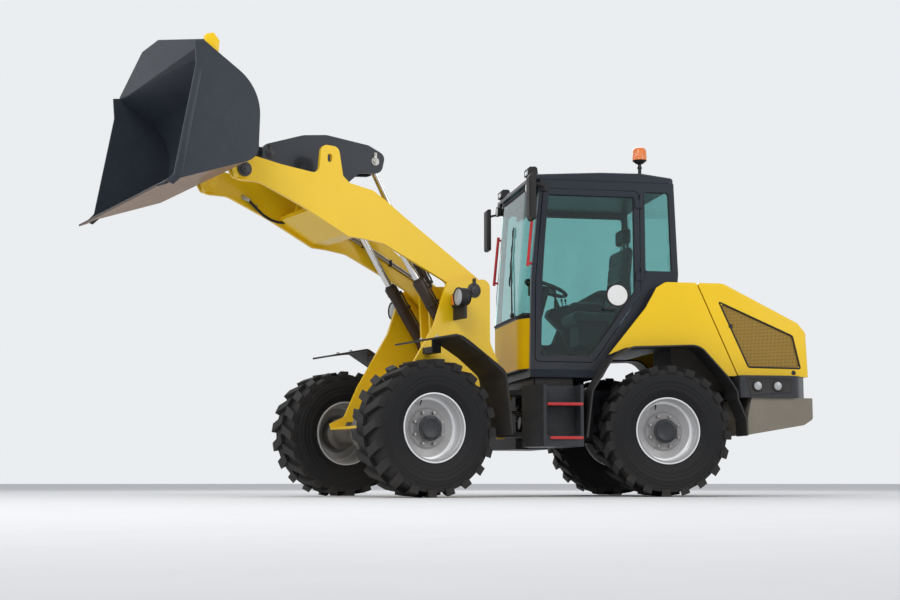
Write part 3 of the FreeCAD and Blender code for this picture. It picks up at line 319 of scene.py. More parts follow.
def makeRim(name, centre, turn):
    # silver wheel: bright outer bead and inner ring, a darker groove between them and a grey dish; the groove and dish
    # are painted shade on one silver rim
    finish = Finish(name)
    local = finish.wire(finish.node("ShaderNodeMapping", {"vector_type": "TEXTURE"}, {
        "Vector": finish.place, "Location": centre, "Rotation": (0, 0, turn)}))
    x = finish.axis(local, "X")
    z = finish.axis(local, "Z")
    radius = (x * x + z * z).calc("SQRT")
    bead = radius.above(0.262, 0.003)
    ring = radius.above(0.222, 0.004) * (1 - radius.above(0.244, 0.004))
    bright = bead + ring
    bright.socket.node.use_clamp = True
    grime = finish.noise(17, 6, 0.7)
    dust = (1 - bright) * 0.3 * grime + (1 - finish.axis(finish.place, "Z").above(0.6, 0.5)) * grime * 0.3
    # painted shade: the dish and the groove get darker greys than the bright rings, darker still inside the hub radius
    paintedShadeDish = finish.mix(radius.above(0.145, 0.01), (0.3, 0.3, 0.31), (0.42, 0.42, 0.43))
    finish.set(color=finish.mix(dust, finish.mix(bright, paintedShadeDish, (0.78, 0.79, 0.8)), (0.2, 0.17, 0.14)),
               rough=0.32 + grime * 0.15, metal=bright * 0.35 + 0.1, coat=0.15, shine=0.35,
               normal=finish.bump(bright, 0.5, 0.004))
    return finish


def makeCloth():
    finish = Finish("seatCloth")
    weave = (finish.axis(finish.mapped((420, 420, 420)), "X").calc("SINE")
             * finish.axis(finish.mapped((420, 420, 420)), "Z").calc("SINE"))
    clouds = finish.noise(30, 3)
    finish.set(color=finish.mix(clouds, (0.02, 0.021, 0.024), (0.05, 0.052, 0.058)), rough=0.85, sheen=0.3,
               normal=finish.bump(weave, 0.3, 0.001))
    return finish


def makeLens(name, color, ribs=180, strength=0.35):
    finish = Finish(name)
    prisms = (finish.axis(finish.mapped((ribs, ribs, ribs)), "Z").calc("SINE")
              * finish.axis(finish.mapped((ribs, ribs, ribs)), "X").calc("SINE"))
    smear = finish.noise(20, 3)
    finish.set(color=finish.mix(smear, color, tuple(part * 0.8 for part in color)), rough=0.08 + smear * 0.08,
               coat=0.6, coatRough=0.03, metal=0.0, normal=finish.bump(prisms, strength, 0.001))
    return finish


def makeMesh(name, holeShadeColor, barColor, pitch=0.012):
    # punched sheet: a grid of round holes set half a pitch apart, each hole painted dark as painted shade behind the
    # sheet
    finish = Finish(name)
    size = 1 / pitch
    grid = finish.mapped((size, 0, size))
    cell = finish.wire(finish.node("ShaderNodeVectorMath", {"operation": "FRACTION"}, {0: grid}))
    middle = finish.wire(finish.node("ShaderNodeVectorMath", {"operation": "DISTANCE"}, {
        0: cell, 1: (0.5, 0, 0.5)}), "Value")
    hole = 1 - middle.above(0.34, 0.03)
    haze = finish.noise(3, 4)
    # painted shade: the holes take the dark hole colour, standing in for the shaded space behind the sheet
    finish.set(color=finish.mix(hole, finish.mix(haze, barColor, tuple(part * 0.75 for part in barColor)), holeShadeColor),
               rough=0.45 + hole * 0.3, normal=finish.bump(1 - hole, 0.6, 0.004))
    return finish


def makeChrome():
    finish = Finish("chromeRod")
    film = finish.noise(25, 4, 0.7)
    finish.set(color=finish.mix(film, (0.72, 0.72, 0.73), (0.55, 0.54, 0.52)), metal=1.0, rough=0.14 + film * 0.1,
               normal=finish.bump(film, 0.01, 0.001))
    return finish


bucketPaint = makeBucketPaint()
cabBasePaint = makeCabBase()
cabGlass = makeGlass("cabGlass", (0.36, 0.6, 0.59))
mirrorGlass = makeChrome()
mirrorGlass.material.name = "mirrorGlass"
chromeRod = makeChrome()
seatCloth = makeCloth()
lampLens = makeLens("lampLens", (0.42, 0.44, 0.45))
redLens = makeLens("redLens", (0.5, 0.02, 0.02))
amberLens = makeLens("amberLens", (0.85, 0.2, 0.008), 320, 0.08)
sideMesh = makeMesh("sideMesh", (0.09, 0.05, 0.006), (0.42, 0.25, 0.02))
rearMesh = makeMesh("rearMesh", (0.004, 0.004, 0.004), (0.03, 0.03, 0.03), 0.016)
signWhite = makePlain("signWhite", (0.78, 0.78, 0.77), 0.35, grain=500, strength=0.04, vary=0.04, dust=0.1)
signBlack = makePlain("signBlack", (0.01, 0.01, 0.01), 0.35, grain=500, strength=0.04)

wheels = {}
for name, place, x, side in (("front_left", frontPlace, 2.364, 1), ("front_right", frontPlace, 2.364, -1),
                             ("rear_left", rearPlace, 0, 1), ("rear_right", rearPlace, 0, -1)):
    centre = place @ Vector((x, side * layout["halfTrack"], layout["axleHeight"]))
    turn = layout["steer"] if place is frontPlace else 0
    wheels[name] = {"place": place, "x": x, "side": side,
                    "rubber": makeRubber("tyreRubber_" + name, tuple(centre), turn),
                    "rim": makeRim("rimSilver_" + name, tuple(centre), turn)}

nodeFinish = {
    "hood_front": yellowPaint, "engine_hood": yellowPaint, "front_frame": yellowPaint, "boom": yellowPaint,
    "quick_hitch": yellowPaint, "cab_base": cabBasePaint, "bucket": bucketPaint, "grille_left": sideMesh,
    "grille_right": sideMesh, "grille_rear": rearMesh, "seat_cushion": seatCloth, "seat_back": seatCloth,
    "beacon": amberLens, "tail_lights": redLens, "counterweight": weightGrey, "rear_axle": castGrey,
    "front_axle": castGrey, "engine": castGrey, "handrails": redPaint, "roof_lights": blackPlastic,
    "rear_fenders": blackPlastic, "front_fender_left": blackPlastic, "front_fender_right": blackPlastic,
    "mirrors": blackPlastic, "head_lights": blackPlastic, "seat_base": blackPlastic,
    "steering_column": blackPlastic, "steering_wheel": blackPlastic, "rear_bumper": darkPaint,
}
for name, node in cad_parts.items():
    if name in nodeFinish:
        finish = nodeFinish[name]
    elif name.startswith("tyre_"):
        finish = wheels[name[5:]]["rubber"]
    elif name.startswith("rim_"):
        finish = wheels[name[4:]]["rim"]
    elif "glass" in name or "window" in name or name == "windscreen":
        finish = cabGlass
    elif "barrel" in name:
        finish = cylinderPaint
    elif "_rod" in name:
        finish = chromeRod
    else:
        finish = darkPaint
    node.data.materials.clear()
    node.data.materials.append(finish.material)
print("finishes set")


# modelling helpers
def solo(piece):
    bpy.ops.object.select_all(action="DESELECT")
    piece.select_set(True)
    bpy.context.view_layer.objects.active = piece


def pick(piece, test):
    # leaves edit mode on with just the faces that pass the test selected
    solo(piece)
    bpy.ops.object.mode_set(mode="EDIT")
    bpy.ops.mesh.select_mode(type="FACE")
    bpy.ops.mesh.select_all(action="DESELECT")
    bpy.ops.object.mode_set(mode="OBJECT")
    for face in piece.data.polygons:
        face.select = test(face)
    bpy.ops.object.mode_set(mode="EDIT")


def done():
    bpy.ops.object.mode_set(mode="OBJECT")


def slab(low, high):
    # a box between two corners
    middle = (Vector(low) + Vector(high)) / 2
    bpy.ops.object.select_all(action="DESELECT")
    bpy.ops.mesh.primitive_cube_add(size=1, location=middle, scale=Vector(high) - Vector(low))
    bpy.ops.object.transform_apply(location=True, rotation=True, scale=True)
    return bpy.context.object


def plate(points, low, high, along="Y"):
    # an outline in the side view (or plan, or front view) pushed out from low to high
    def corner(u, v, depth):
        return {"Y": (u, depth, v), "Z": (u, v, depth), "X": (depth, u, v)}[along]
    bpy.ops.object.select_all(action="DESELECT")
    bpy.ops.mesh.primitive_circle_add(vertices=len(points), radius=1, fill_type="NGON")
    piece = bpy.context.object
    for vertex, (u, v) in zip(piece.data.vertices, points):
        vertex.co = corner(u, v, low)
    bpy.ops.object.mode_set(mode="EDIT")
    bpy.ops.mesh.select_all(action="SELECT")
    bpy.ops.mesh.extrude_region_move(TRANSFORM_OT_translate={"value": corner(0, 0, high - low)})
    bpy.ops.mesh.select_all(action="SELECT")
    bpy.ops.mesh.normals_make_consistent(inside=False)
    bpy.ops.object.mode_set(mode="OBJECT")
    return piece


def rod(start, end, radius, sides=20, top=None):
    # a round bar from start to end, or a cone where a top radius is given
    start, end = Vector(start), Vector(end)
    run = end - start
    bpy.ops.object.select_all(action="DESELECT")
    bpy.ops.mesh.primitive_cone_add(vertices=sides, radius1=radius, radius2=radius if top is None else top,
                                    depth=run.length, location=(start + end) / 2,
                                    rotation=run.to_track_quat("Z", "Y").to_euler())
    bpy.ops.object.transform_apply(location=True, rotation=True, scale=True)
    return bpy.context.object


def hose(points, radius):
    # a smooth tube led past the points
    data = bpy.data.curves.new("hose", "CURVE")
    data.dimensions = "3D"
    data.bevel_depth = radius
    data.bevel_resolution = 3
    data.resolution_u = 6
    data.use_fill_caps = True
    spline = data.splines.new("NURBS")
    spline.points.add(len(points) - 1)
    for point, place in zip(spline.points, points):
        point.co = (*place, 1)
    spline.order_u = 3
    spline.use_endpoint_u = True
    piece = bpy.data.objects.new("hose", data)
    bpy.context.scene.collection.objects.link(piece)
    solo(piece)
    bpy.ops.object.convert(target="MESH")
    return bpy.context.object


def soften(piece, width, segments=2, angle=32):
    solo(piece)
    bevel = piece.modifiers.new("edges", "BEVEL")
    bevel.width = width
    bevel.segments = segments
    bevel.limit_method = "ANGLE"
    bevel.angle_limit = math.radians(angle)
    bpy.ops.object.modifier_apply(modifier="edges")
    bpy.ops.object.shade_smooth_by_angle(angle=math.radians(40))
    return piece


def joined(pieces):
    if len(pieces) == 1:
        return pieces[0]
    bpy.ops.object.select_all(action="DESELECT")
    for piece in pieces:
        piece.select_set(True)
    bpy.context.view_layer.objects.active = pieces[0]
    bpy.ops.object.join()
    return bpy.context.object


def paint(piece, finish):
    piece.data.materials.clear()
    piece.data.materials.append(finish.material)
    return piece


def settle(piece, name, place, body, replaces=()):
    # puts a finished piece where it belongs and ties it to its body
    solo(piece)
    piece.matrix_world = place @ piece.matrix_world
    bpy.ops.object.transform_apply(location=True, rotation=True, scale=True)
    piece.name = name
    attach(piece, body)
    if replaces:
        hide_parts(*replaces)
    return piece


def loopTube(points, cut, radius):
    # a tube closed on itself along an outline, its corners rounded by about the cut
    route = []
    for index, point in enumerate(points):
        here = Vector(point)
        before = (Vector(points[index - 1]) - here).normalized() * cut
        after = (Vector(points[(index + 1) % len(points)]) - here).normalized() * cut
        route += [here + before, here + before * 0.25, here + after * 0.25, here + after]
    data = bpy.data.curves.new("loop", "CURVE")
    data.dimensions = "3D"
    data.bevel_depth = radius
    data.bevel_resolution = 2
    data.resolution_u = 3
    spline = data.splines.new("NURBS")
    spline.points.add(len(route) - 1)
    for point, place in zip(spline.points, route):
        point.co = (*place, 1)
    spline.order_u = 3
    spline.use_cyclic_u = True
    piece = bpy.data.objects.new("loop", data)
    bpy.context.scene.collection.objects.link(piece)
    solo(piece)
    bpy.ops.object.convert(target="MESH")
    return bpy.context.object


def fit(pieces, finish, name, place, body, edge=0.0015, replaces=()):
    # joins, rounds, paints and settles one finished piece
    piece = joined(pieces)
    if edge:
        soften(piece, edge, 2)
    else:
        solo(piece)
        bpy.ops.object.shade_smooth_by_angle(angle=math.radians(40))
    return settle(paint(piece, finish), name, place, body, replaces)


# wheels: nuts, hub cap and valve
wheelTrim = {"nuts": 8, "nutCircle": 0.129, "nutRadius": 0.0145, "plate": 0.056, "hubEnd": 0.094, "capRadius": 0.1}
for name, wheel in wheels.items():
    side = wheel["side"]
    trim = wheelTrim
    middle = Vector((wheel["x"], side * layout["halfTrack"], layout["axleHeight"]))

    def spot(angle, radius, out):
        return middle + Vector((radius * math.cos(angle), side * out, radius * math.sin(angle)))
    nuts = []
    for turn in range(trim["nuts"]):
        angle = 2 * math.pi * (turn + 0.5) / trim["nuts"]
        nuts.append(rod(spot(angle, trim["nutCircle"], trim["plate"]),
                        spot(angle, trim["nutCircle"], trim["plate"] + 0.017), trim["nutRadius"], 6))
        nuts.append(rod(spot(angle, trim["nutCircle"], trim["plate"] + 0.017),
                        spot(angle, trim["nutCircle"], trim["plate"] + 0.026), 0.009, 12))
    piece = paint(soften(joined(nuts), 0.0015, 1), zincSteel)
    settle(piece, "wheelNuts_" + name, wheel["place"], "wheel_" + name)
    cap = rod(middle + Vector((0, side * trim["hubEnd"], 0)), middle + Vector((0, side * (trim["hubEnd"] + 0.012), 0)),
              trim["capRadius"], 40)
    pick(cap, lambda face: abs(face.normal.y) > 0.9 and face.center.y * side > (middle.y * side + trim["hubEnd"] + 0.006))
    bpy.ops.mesh.inset(thickness=0.02)
    bpy.ops.mesh.extrude_region_move(TRANSFORM_OT_translate={"value": (0, side * 0.01, 0)})
    bpy.ops.mesh.inset(thickness=0.012)
    bpy.ops.mesh.extrude_region_move(TRANSFORM_OT_translate={"value": (0, -side * 0.005, 0)})
    done()
    bolts = [cap]
    for turn in range(6):
        angle = 2 * math.pi * turn / 6
        bolts.append(rod(spot(angle, 0.09, trim["hubEnd"] + 0.012), spot(angle, 0.09, trim["hubEnd"] + 0.018), 0.006, 6))
    piece = paint(soften(joined(bolts), 0.002, 2), darkPaint)
    settle(piece, "hubCap_" + name, wheel["place"], "wheel_" + name)
    valve = rod(spot(1.2, 0.19, 0.058), spot(1.2, 0.215, 0.09), 0.005, 10)
    valveCap = rod(spot(1.2, 0.213, 0.087), spot(1.2, 0.226, 0.104), 0.007, 10)
    settle(paint(soften(joined([valve, valveCap]), 0.001, 1), blackPlastic), "valve_" + name, wheel["place"],
           "wheel_" + name)
print("wheels dressed")


# speed disc on the door: blank white with a black rim
disc = {"x": 0.327, "z": 1.675, "radius": 0.1, "face": 0.6663, "thick": 0.003}
ring = rod((disc["x"], disc["face"], disc["z"]), (disc["x"], disc["face"] + disc["thick"], disc["z"]), disc["radius"], 56)
settle(paint(soften(ring, 0.0008, 1), signBlack), "discRim", rearPlace, "door")
white = rod((disc["x"], disc["face"] + disc["thick"], disc["z"]), (disc["x"], disc["face"] + disc["thick"] + 0.001, disc["z"]),
            disc["radius"] * 0.86, 56)
settle(paint(soften(white, 0.0004, 1), signWhite), "discFace", rearPlace, "door")

# door handle
handle = slab((0.345, 0.6835, 1.545), (0.455, 0.70, 1.57))
pick(handle, lambda face: face.normal.y < -0.9)
bpy.ops.mesh.inset(thickness=0.004)
done()
settle(paint(soften(handle, 0.005, 3), blackPlastic), "doorHandle", rearPlace, "door")

# steps: toothed red edges on both treads
step = {"rear": 0.705, "front": 1.0, "treads": (0.747, 0.475), "edge": 0.921, "deep": 0.018}
for index, z in enumerate(step["treads"]):
    bar = slab((step["rear"], step["edge"] - 0.03, z - 0.012), (step["front"] - 0.02 * index, step["edge"] + 0.006, z + 0.012))
    solo(bar)
    bpy.ops.object.mode_set(mode="EDIT")
    bpy.ops.mesh.select_all(action="SELECT")
    bpy.ops.mesh.bisect(plane_co=(0.8, 0.9, z), plane_no=(1, 0, 0))
    done()
    settle(paint(soften(bar, 0.004, 2), redPaint), "stepEdge%d" % index, rearPlace, "chassis")
    teeth = []
    for place in range(9):
        x = step["rear"] + 0.02 + place * 0.031
        teeth.append(slab((x, 0.76, z + 0.001), (x + 0.012, 0.885, z + 0.011)))
    settle(paint(soften(joined(teeth), 0.002, 1), darkSteel), "stepTeeth%d" % index, rearPlace, "chassis")
print("door and steps dressed")

# work lamps: bezel, bulged lens and cooling ribs on each round housing, amber indicator beside it
workLamp = {"front": 1.94, "rear": 1.845, "y": 0.58, "z": 1.615, "radius": 0.076, "rim": 0.009,
            "indicator": ((1.929, 0.462, 1.558), (1.938, 0.513, 1.642))}
for label, side in (("left", 1), ("right", -1)):
    at = workLamp
    y = side * at["y"]
    bezel = rod((at["front"] - 0.012, y, at["z"]), (at["front"] + 0.006, y, at["z"]), at["radius"] + 0.003, 48)
    pick(bezel, lambda face: face.normal.x > 0.9)
    bpy.ops.mesh.inset(thickness=at["rim"])
    bpy.ops.mesh.extrude_region_move(TRANSFORM_OT_translate={"value": (-0.01, 0, 0)})
    done()
    ribs = [bezel]
    for rib in range(4):
        x = at["rear"] + 0.004 + rib * 0.007
        ribs.append(rod((x, y, at["z"]), (x + 0.003, y, at["z"]), at["radius"] - 0.014, 32))
    fit(ribs, blackPlastic, "workLampHousing_" + label, frontPlace, "front", 0.0015)
    lens = rod((at["front"] - 0.005, y, at["z"]), (at["front"], y, at["z"]), at["radius"] - at["rim"], 48)
    pick(lens, lambda face: face.normal.x > 0.9)
    for ring in range(3):
        bpy.ops.mesh.inset(thickness=0.016)
        bpy.ops.transform.translate(value=(0.0035 - ring * 0.001, 0, 0))
    done()
    fit([lens], lampLens, "workLampLens_" + label, frontPlace, "front", 0)
    low, high = at["indicator"]
    amber = slab((low[0], side * low[1], low[2]), (high[0], side * high[1], high[2]))
    pick(amber, lambda face: face.normal.x > 0.9)
    bpy.ops.mesh.inset(thickness=0.008)
    bpy.ops.transform.translate(value=(0.004, 0, 0))
    done()
    fit([amber], amberLens, "indicatorLens_" + label, frontPlace, "front", 0.003)

# mirrors: a rounded housing on a bent tube from each front post
mirror = {"low": (1.09, 0.792, 2.255), "high": (1.122, 0.948, 2.638), "tube": 0.0105, "wall": 0.008}
mirrorParts = []
mirrorGlasses = []
for side in (1, -1):
    low, high = mirror["low"], mirror["high"]
    shell = slab((low[0], side * low[1], low[2]), (high[0], side * high[1], high[2]))
    pick(shell, lambda face: face.normal.x > 0.9)
    bpy.ops.mesh.inset(thickness=0.03)
    bpy.ops.transform.translate(value=(0.022, 0, 0))
    done()
    pick(shell, lambda face: face.normal.x < -0.9)
    bpy.ops.mesh.inset(thickness=mirror["wall"])
    bpy.ops.mesh.extrude_region_move(TRANSFORM_OT_translate={"value": (0.008, 0, 0)})
    done()
    mirrorParts.append(soften(shell, 0.009, 4))
    middleY = side * (low[1] + high[1]) / 2
    tube = hose(((0.958, side * 0.682, 2.572), (0.985, side * 0.715, 2.574), (1.06, side * 0.79, 2.582),
                 (1.112, middleY, 2.57), (1.118, middleY, 2.50), (1.118, middleY, 2.42)), mirror["tube"])
    mirrorParts.append(tube)
    foot = slab((0.93, side * 0.679, 2.535), (0.985, side * 0.70, 2.61))
    mirrorParts.append(soften(foot, 0.004, 2))
    for z in (2.548, 2.597):
        mirrorParts.append(rod((0.957, side * 0.70, z), (0.957, side * 0.706, z), 0.008, 6))
    glass = slab((low[0] + 0.006, side * (low[1] + mirror["wall"]), low[2] + mirror["wall"]),
                 (low[0] + 0.009, side * (high[1] - mirror["wall"]), high[2] - mirror["wall"]))
    mirrorGlasses.append(soften(glass, 0.001, 1))
fit(mirrorParts, blackPlastic, "mirrorHousings", rearPlace, "chassis", 0, ("mirrors",))
fit(mirrorGlasses, mirrorGlass, "mirrorGlasses", rearPlace, "chassis", 0)

# beacon: foot, thin stem and a ribbed orange dome
beacon = {"x": 0.063, "y": 0.5, "foot": 2.7225, "collar": 2.852, "domeLow": 2.868, "domeTop": 2.982, "radius": 0.062}


def beaconSpot(z):
    return (beacon["x"], beacon["y"], z)


stem = [rod(beaconSpot(beacon["foot"]), beaconSpot(2.74), 0.034, 32, 0.027),
        rod(beaconSpot(2.735), beaconSpot(beacon["collar"]), 0.0145, 24),
        rod(beaconSpot(2.795), beaconSpot(2.815), 0.021, 8),
        rod(beaconSpot(beacon["collar"] - 0.012), beaconSpot(beacon["domeLow"]), 0.03, 32, beacon["radius"] + 0.002)]
fit(stem, blackPlastic, "beaconStem", rearPlace, "chassis", 0.0025)
dome = rod(beaconSpot(beacon["domeLow"]), beaconSpot(beacon["domeTop"] - 0.03), beacon["radius"], 40, beacon["radius"] - 0.003)
pick(dome, lambda face: face.normal.z > 0.9)
for inset, rise in ((0.004, 0.012), (0.01, 0.01), (0.016, 0.006), (0.02, 0.002)):
    bpy.ops.mesh.inset(thickness=inset)
    bpy.ops.transform.translate(value=(0, 0, rise))
done()
pick(dome, lambda face: abs(face.normal.z) < 0.2 and face.area > 0.0002 and face.index % 2 == 0)
bpy.ops.mesh.inset(thickness=0.0025, use_individual=True)
bpy.ops.transform.shrink_fatten(value=-0.0022)
done()
fit([dome], amberLens, "beaconDome", rearPlace, "chassis", 0.001, ("beacon",))
print("lamps, mirrors and beacon modelled")

# roof: two pressed ribs along it and an air inlet with its slats at the back
roofRibs = []
for y in (-0.36, 0.36):
    rib = slab((0.02, y - 0.035, 2.70), (0.60, y + 0.035, 2.7275))
    pick(rib, lambda face: face.normal.z > 0.9)
    bpy.ops.mesh.inset(thickness=0.014)
    bpy.ops.transform.translate(value=(0, 0, 0.005))
    done()
    roofRibs.append(rib)
fit(roofRibs, darkPaint, "roofRibs", rearPlace, "chassis", 0.006)
inlet = []
for row in range(6):
    y = -0.125 + row * 0.05
    inlet.append(slab((-0.183, y - 0.019, 2.652), (-0.176, y + 0.019, 2.676)))
fit(inlet, blackPlastic, "roofInlet", rearPlace, "chassis", 0.002)

# pins of the loader arm: washer, keeper plate and bolt at every joint that shows
pins = (
    # name, body, x, z, face, radius
    ("boomPivot", "front", 1.70, 1.70, 0.4253, 0.062),
    ("liftFoot", "front", 1.66, 1.05, 0.4253, 0.054),
    ("bucketPin", "bucket", 3.74, 2.52, 0.4056, 0.058),
    ("leverRear", "lever", 2.46, 2.77, 0.0972, 0.036),
    ("leverFront", "lever", 3.40, 2.74, 0.0972, 0.038),
    ("leverPivot", "boom", 2.94, 2.51, 0.1332, 0.052),
)
for name, body, x, z, face, radius in pins:
    heads = []
    for side in (1, -1):
        heads.append(rod((x, side * face, z), (x, side * (face + 0.007), z), radius, 32))
        heads.append(rod((x, side * face, z), (x, side * (face + 0.0165), z), radius * 0.58, 28))
        heads.append(rod((x, side * (face + 0.016), z), (x, side * (face + 0.024), z), 0.007, 8))
        keeper = slab((x - 0.014, side * face, z + radius * 0.6), (x + 0.014, side * (face + 0.01), z + radius + 0.038))
        heads.append(keeper)
        heads.append(rod((x, side * (face + 0.01), z + radius + 0.022), (x, side * (face + 0.019), z + radius + 0.022),
                         0.0095, 6))
    fit(heads, zincSteel if name == "leverRear" else darkSteel, name + "Caps", frontPlace, body, 0.0015)

# pipes and glands of the cylinders, laid along each barrel
cylinders = (
    # name, body, foot x and z, head x and z, lanes, tube end, barrel radius
    ("lift", "lift_barrels", (1.66, 1.05), (2.45, 2.25), (0.25, -0.25), 0.862, 0.05),
    ("tilt", "tilt_barrel", (1.88, 1.69), (2.46, 2.77), (0,), 0.760, 0.052),
)
for name, body, foot, head, lanes, tubeEnd, radius in cylinders:
    reach = Vector((head[0] - foot[0], 0, head[1] - foot[1])).normalized()
    behind = Vector((-reach.z, 0, reach.x))
    fittings = []
    for lane in lanes:
        base = Vector((foot[0], lane, foot[1]))

        def along(distance, off=0.0, aside=0.0):
            return base + reach * distance + behind * off + Vector((0, aside, 0))
        off = radius + 0.017
        fittings.append(hose((along(0.10, radius), along(0.11, off + 0.01), along(0.16, off), along(0.4, off),
                              along(tubeEnd - 0.13, off), along(tubeEnd - 0.095, off + 0.006),
                              along(tubeEnd - 0.085, radius)), 0.0075))
        for distance in (0.27, tubeEnd - 0.24):
            fittings.append(rod(along(distance), along(distance + 0.022), radius + 0.0035, 36))
            fittings.append(rod(along(distance + 0.011, radius), along(distance + 0.011, off + 0.014), 0.0125, 6))
        for distance in (0.10, tubeEnd - 0.085):
            fittings.append(rod(along(distance, radius - 0.01), along(distance, off + 0.006), 0.0165, 6))
        fittings.append(rod(along(tubeEnd - 0.004), along(tubeEnd + 0.012), radius - 0.004, 8))
    fit(fittings, cylinderPaint, name + "Pipes", frontPlace, body, 0.0012)
    glands = []
    for lane in lanes:
        base = Vector((foot[0], lane, foot[1]))
        glands.append(rod(base + reach * (tubeEnd + 0.008), base + reach * (tubeEnd + 0.02), radius - 0.014, 32))
    fit(glands, blackPlastic, name + "Wipers", frontPlace, body, 0.002)
print("pins and cylinders dressed")

# hoses on the boom: a loop to the bucket's side, pipes along both plates with their clamps
boomLines = {"hose": 0.0115, "pipe": 0.008, "wall": 0.318,
             "pipeRoute": ((1.85, 1.85), (2.1, 1.98), (2.36, 2.12), (2.52, 2.19), (2.66, 2.20))}
loop = ((3.46, -0.318, 2.44), (3.42, -0.30, 2.42), (3.36, -0.292, 2.36), (3.27, -0.29, 2.285), (3.16, -0.288, 2.25),
        (3.06, -0.286, 2.262), (2.99, -0.28, 2.33), (2.95, -0.24, 2.395), (2.93, -0.19, 2.42))
fit([hose(loop, boomLines["hose"])], hoseRubber, "boomHose", frontPlace, "boom", 0)
ends = []
for first, second in ((loop[0], loop[1]), (loop[-1], loop[-2])):
    way = (Vector(second) - Vector(first)).normalized()
    ends.append(rod(Vector(first) - way * 0.012, Vector(first) + way * 0.035, 0.0155, 6))
    ends.append(rod(Vector(first) + way * 0.03, Vector(first) + way * 0.06, 0.0145, 20))
for x, z in ((3.46, 2.44), (3.40, 2.405), (3.34, 2.37)):
    ends.append(rod((x, -0.331, z + 0.012), (x, -0.318, z + 0.012), 0.012, 6))
fit(ends, zincSteel, "boomHoseFittings", frontPlace, "boom", 0.001)
pipes = []
clamps = []
for side in (1, -1):
    for row in (0, 0.024):
        route = [(x, side * (boomLines["wall"] - 0.002), z + row) for x, z in boomLines["pipeRoute"]]
        pipes.append(hose(route, boomLines["pipe"]))
    for x, z in boomLines["pipeRoute"][1:4]:
        clamps.append(slab((x - 0.012, side * 0.304, z - 0.016), (x + 0.012, side * 0.3295, z + 0.04)))
        clamps.append(rod((x, side * 0.304, z + 0.012), (x, side * 0.297, z + 0.012), 0.008, 6))
fit(pipes, zincSteel, "boomPipes", frontPlace, "boom", 0)
fit(clamps, blackPlastic, "boomPipeClamps", frontPlace, "boom", 0.003)

# bucket: wear strip along each side, edge bolts, a yellow level mark on top and stiffeners at the back
bucketTrim = {"side": 0.985, "strip": 0.006, "bolts": 9}
strips = []
for side in (1, -1):
    edge = ((4.566, 2.243), (4.500, 2.316), (4.371, 3.05), (4.352, 3.13), (4.301, 3.118), (4.322, 3.03), (4.446, 2.29),
            (4.512, 2.226))
    low, high = sorted((side * bucketTrim["side"], side * (bucketTrim["side"] + bucketTrim["strip"])))
    strips.append(plate(edge, low, high))
fit(strips, bucketPaint, "bucketSideStrips", frontPlace, "bucket", 0.002)
edgeBolts = []
for place in range(bucketTrim["bolts"]):
    y = -0.88 + 1.76 * place / (bucketTrim["bolts"] - 1)
    edgeBolts.append(rod((4.552, y, 2.250), (4.557, y, 2.2585), 0.017, 20, 0.011))
fit(edgeBolts, darkSteel, "bucketEdgeBolts", frontPlace, "bucket", 0.001)
mark = plate(((4.285, 3.30), (4.262, 3.385), (4.205, 3.40), (4.158, 3.345), (4.165, 3.235), (4.215, 3.262)), 0.875, 0.925)
stiffeners = []
for y in (-0.62, 0.62, -0.35, 0.35):
    rib = plate(((3.864, 2.50), (3.838, 2.545), (3.836, 2.90), (3.862, 3.03), (3.90, 3.12)), y - 0.007, y + 0.007)
    stiffeners.append(rib)
fit(stiffeners, bucketPaint, "bucketStiffeners", frontPlace, "bucket", 0.002)
fit([mark], yellowPaint, "levelMark", frontPlace, "bucket", 0.004)
print("boom and bucket dressed")

# cab outside: rubber seals round the panes, wiper on the windscreen
cabTrim = {"side": 0.68, "seal": 0.007, "glassOut": 0.661}
doorPane = ((0.587, 1.158), (0.178, 1.705), (0.178, 2.512), (0.927, 2.512), (0.979, 1.815), (0.995, 1.158))
quarterPane = ((-0.152, 1.88), (-0.132, 2.56), (0.085, 2.56), (0.085, 1.88))
rightPane = ((-0.152, 1.88), (-0.132, 2.56), (0.962, 2.56), (1.022, 1.815), (1.03, 1.36), (0.56, 1.36), (0.42, 1.70),
             (0.10, 1.88))


def seal(outline, y, cut, radius):
    return loopTube([(x, y, z) for x, z in outline], cut, radius)


fit([seal(doorPane, cabTrim["side"] - 0.012, 0.05, cabTrim["seal"])], sealRubber, "doorSeal", rearPlace, "door",
    0)
fit([seal(quarterPane, cabTrim["side"] - 0.012, 0.04, cabTrim["seal"]),
     seal(rightPane, -cabTrim["side"] + 0.012, 0.07, cabTrim["seal"])], sealRubber, "windowSeals", rearPlace, "chassis",
    0)

# rubber frame round the bowed windscreen
screen = {"low": 1.503, "high": 2.594, "lean": -0.0773, "bow": ((1.047, 0.632), (1.112, 0.535), (1.141, 0.43), (1.143, 0.2),
                                                              (1.143, -0.2), (1.141, -0.43), (1.112, -0.535),
                                                              (1.047, -0.632))}
screenTubes = []
for z in (screen["low"], screen["high"]):
    back = screen["lean"] * (z - 1.5)
    screenTubes.append(hose([(x + back, y, z) for x, y in screen["bow"]], 0.009))
for side in (1, -1):
    bottom = Vector((screen["bow"][0][0], side * screen["bow"][0][1], screen["low"]))
    top = bottom + Vector((screen["lean"] * (screen["high"] - 1.5), 0, screen["high"] - screen["low"]))
    screenTubes.append(rod(bottom, top, 0.009, 14))
fit(screenTubes, sealRubber, "screenSeal", rearPlace, "chassis", 0)

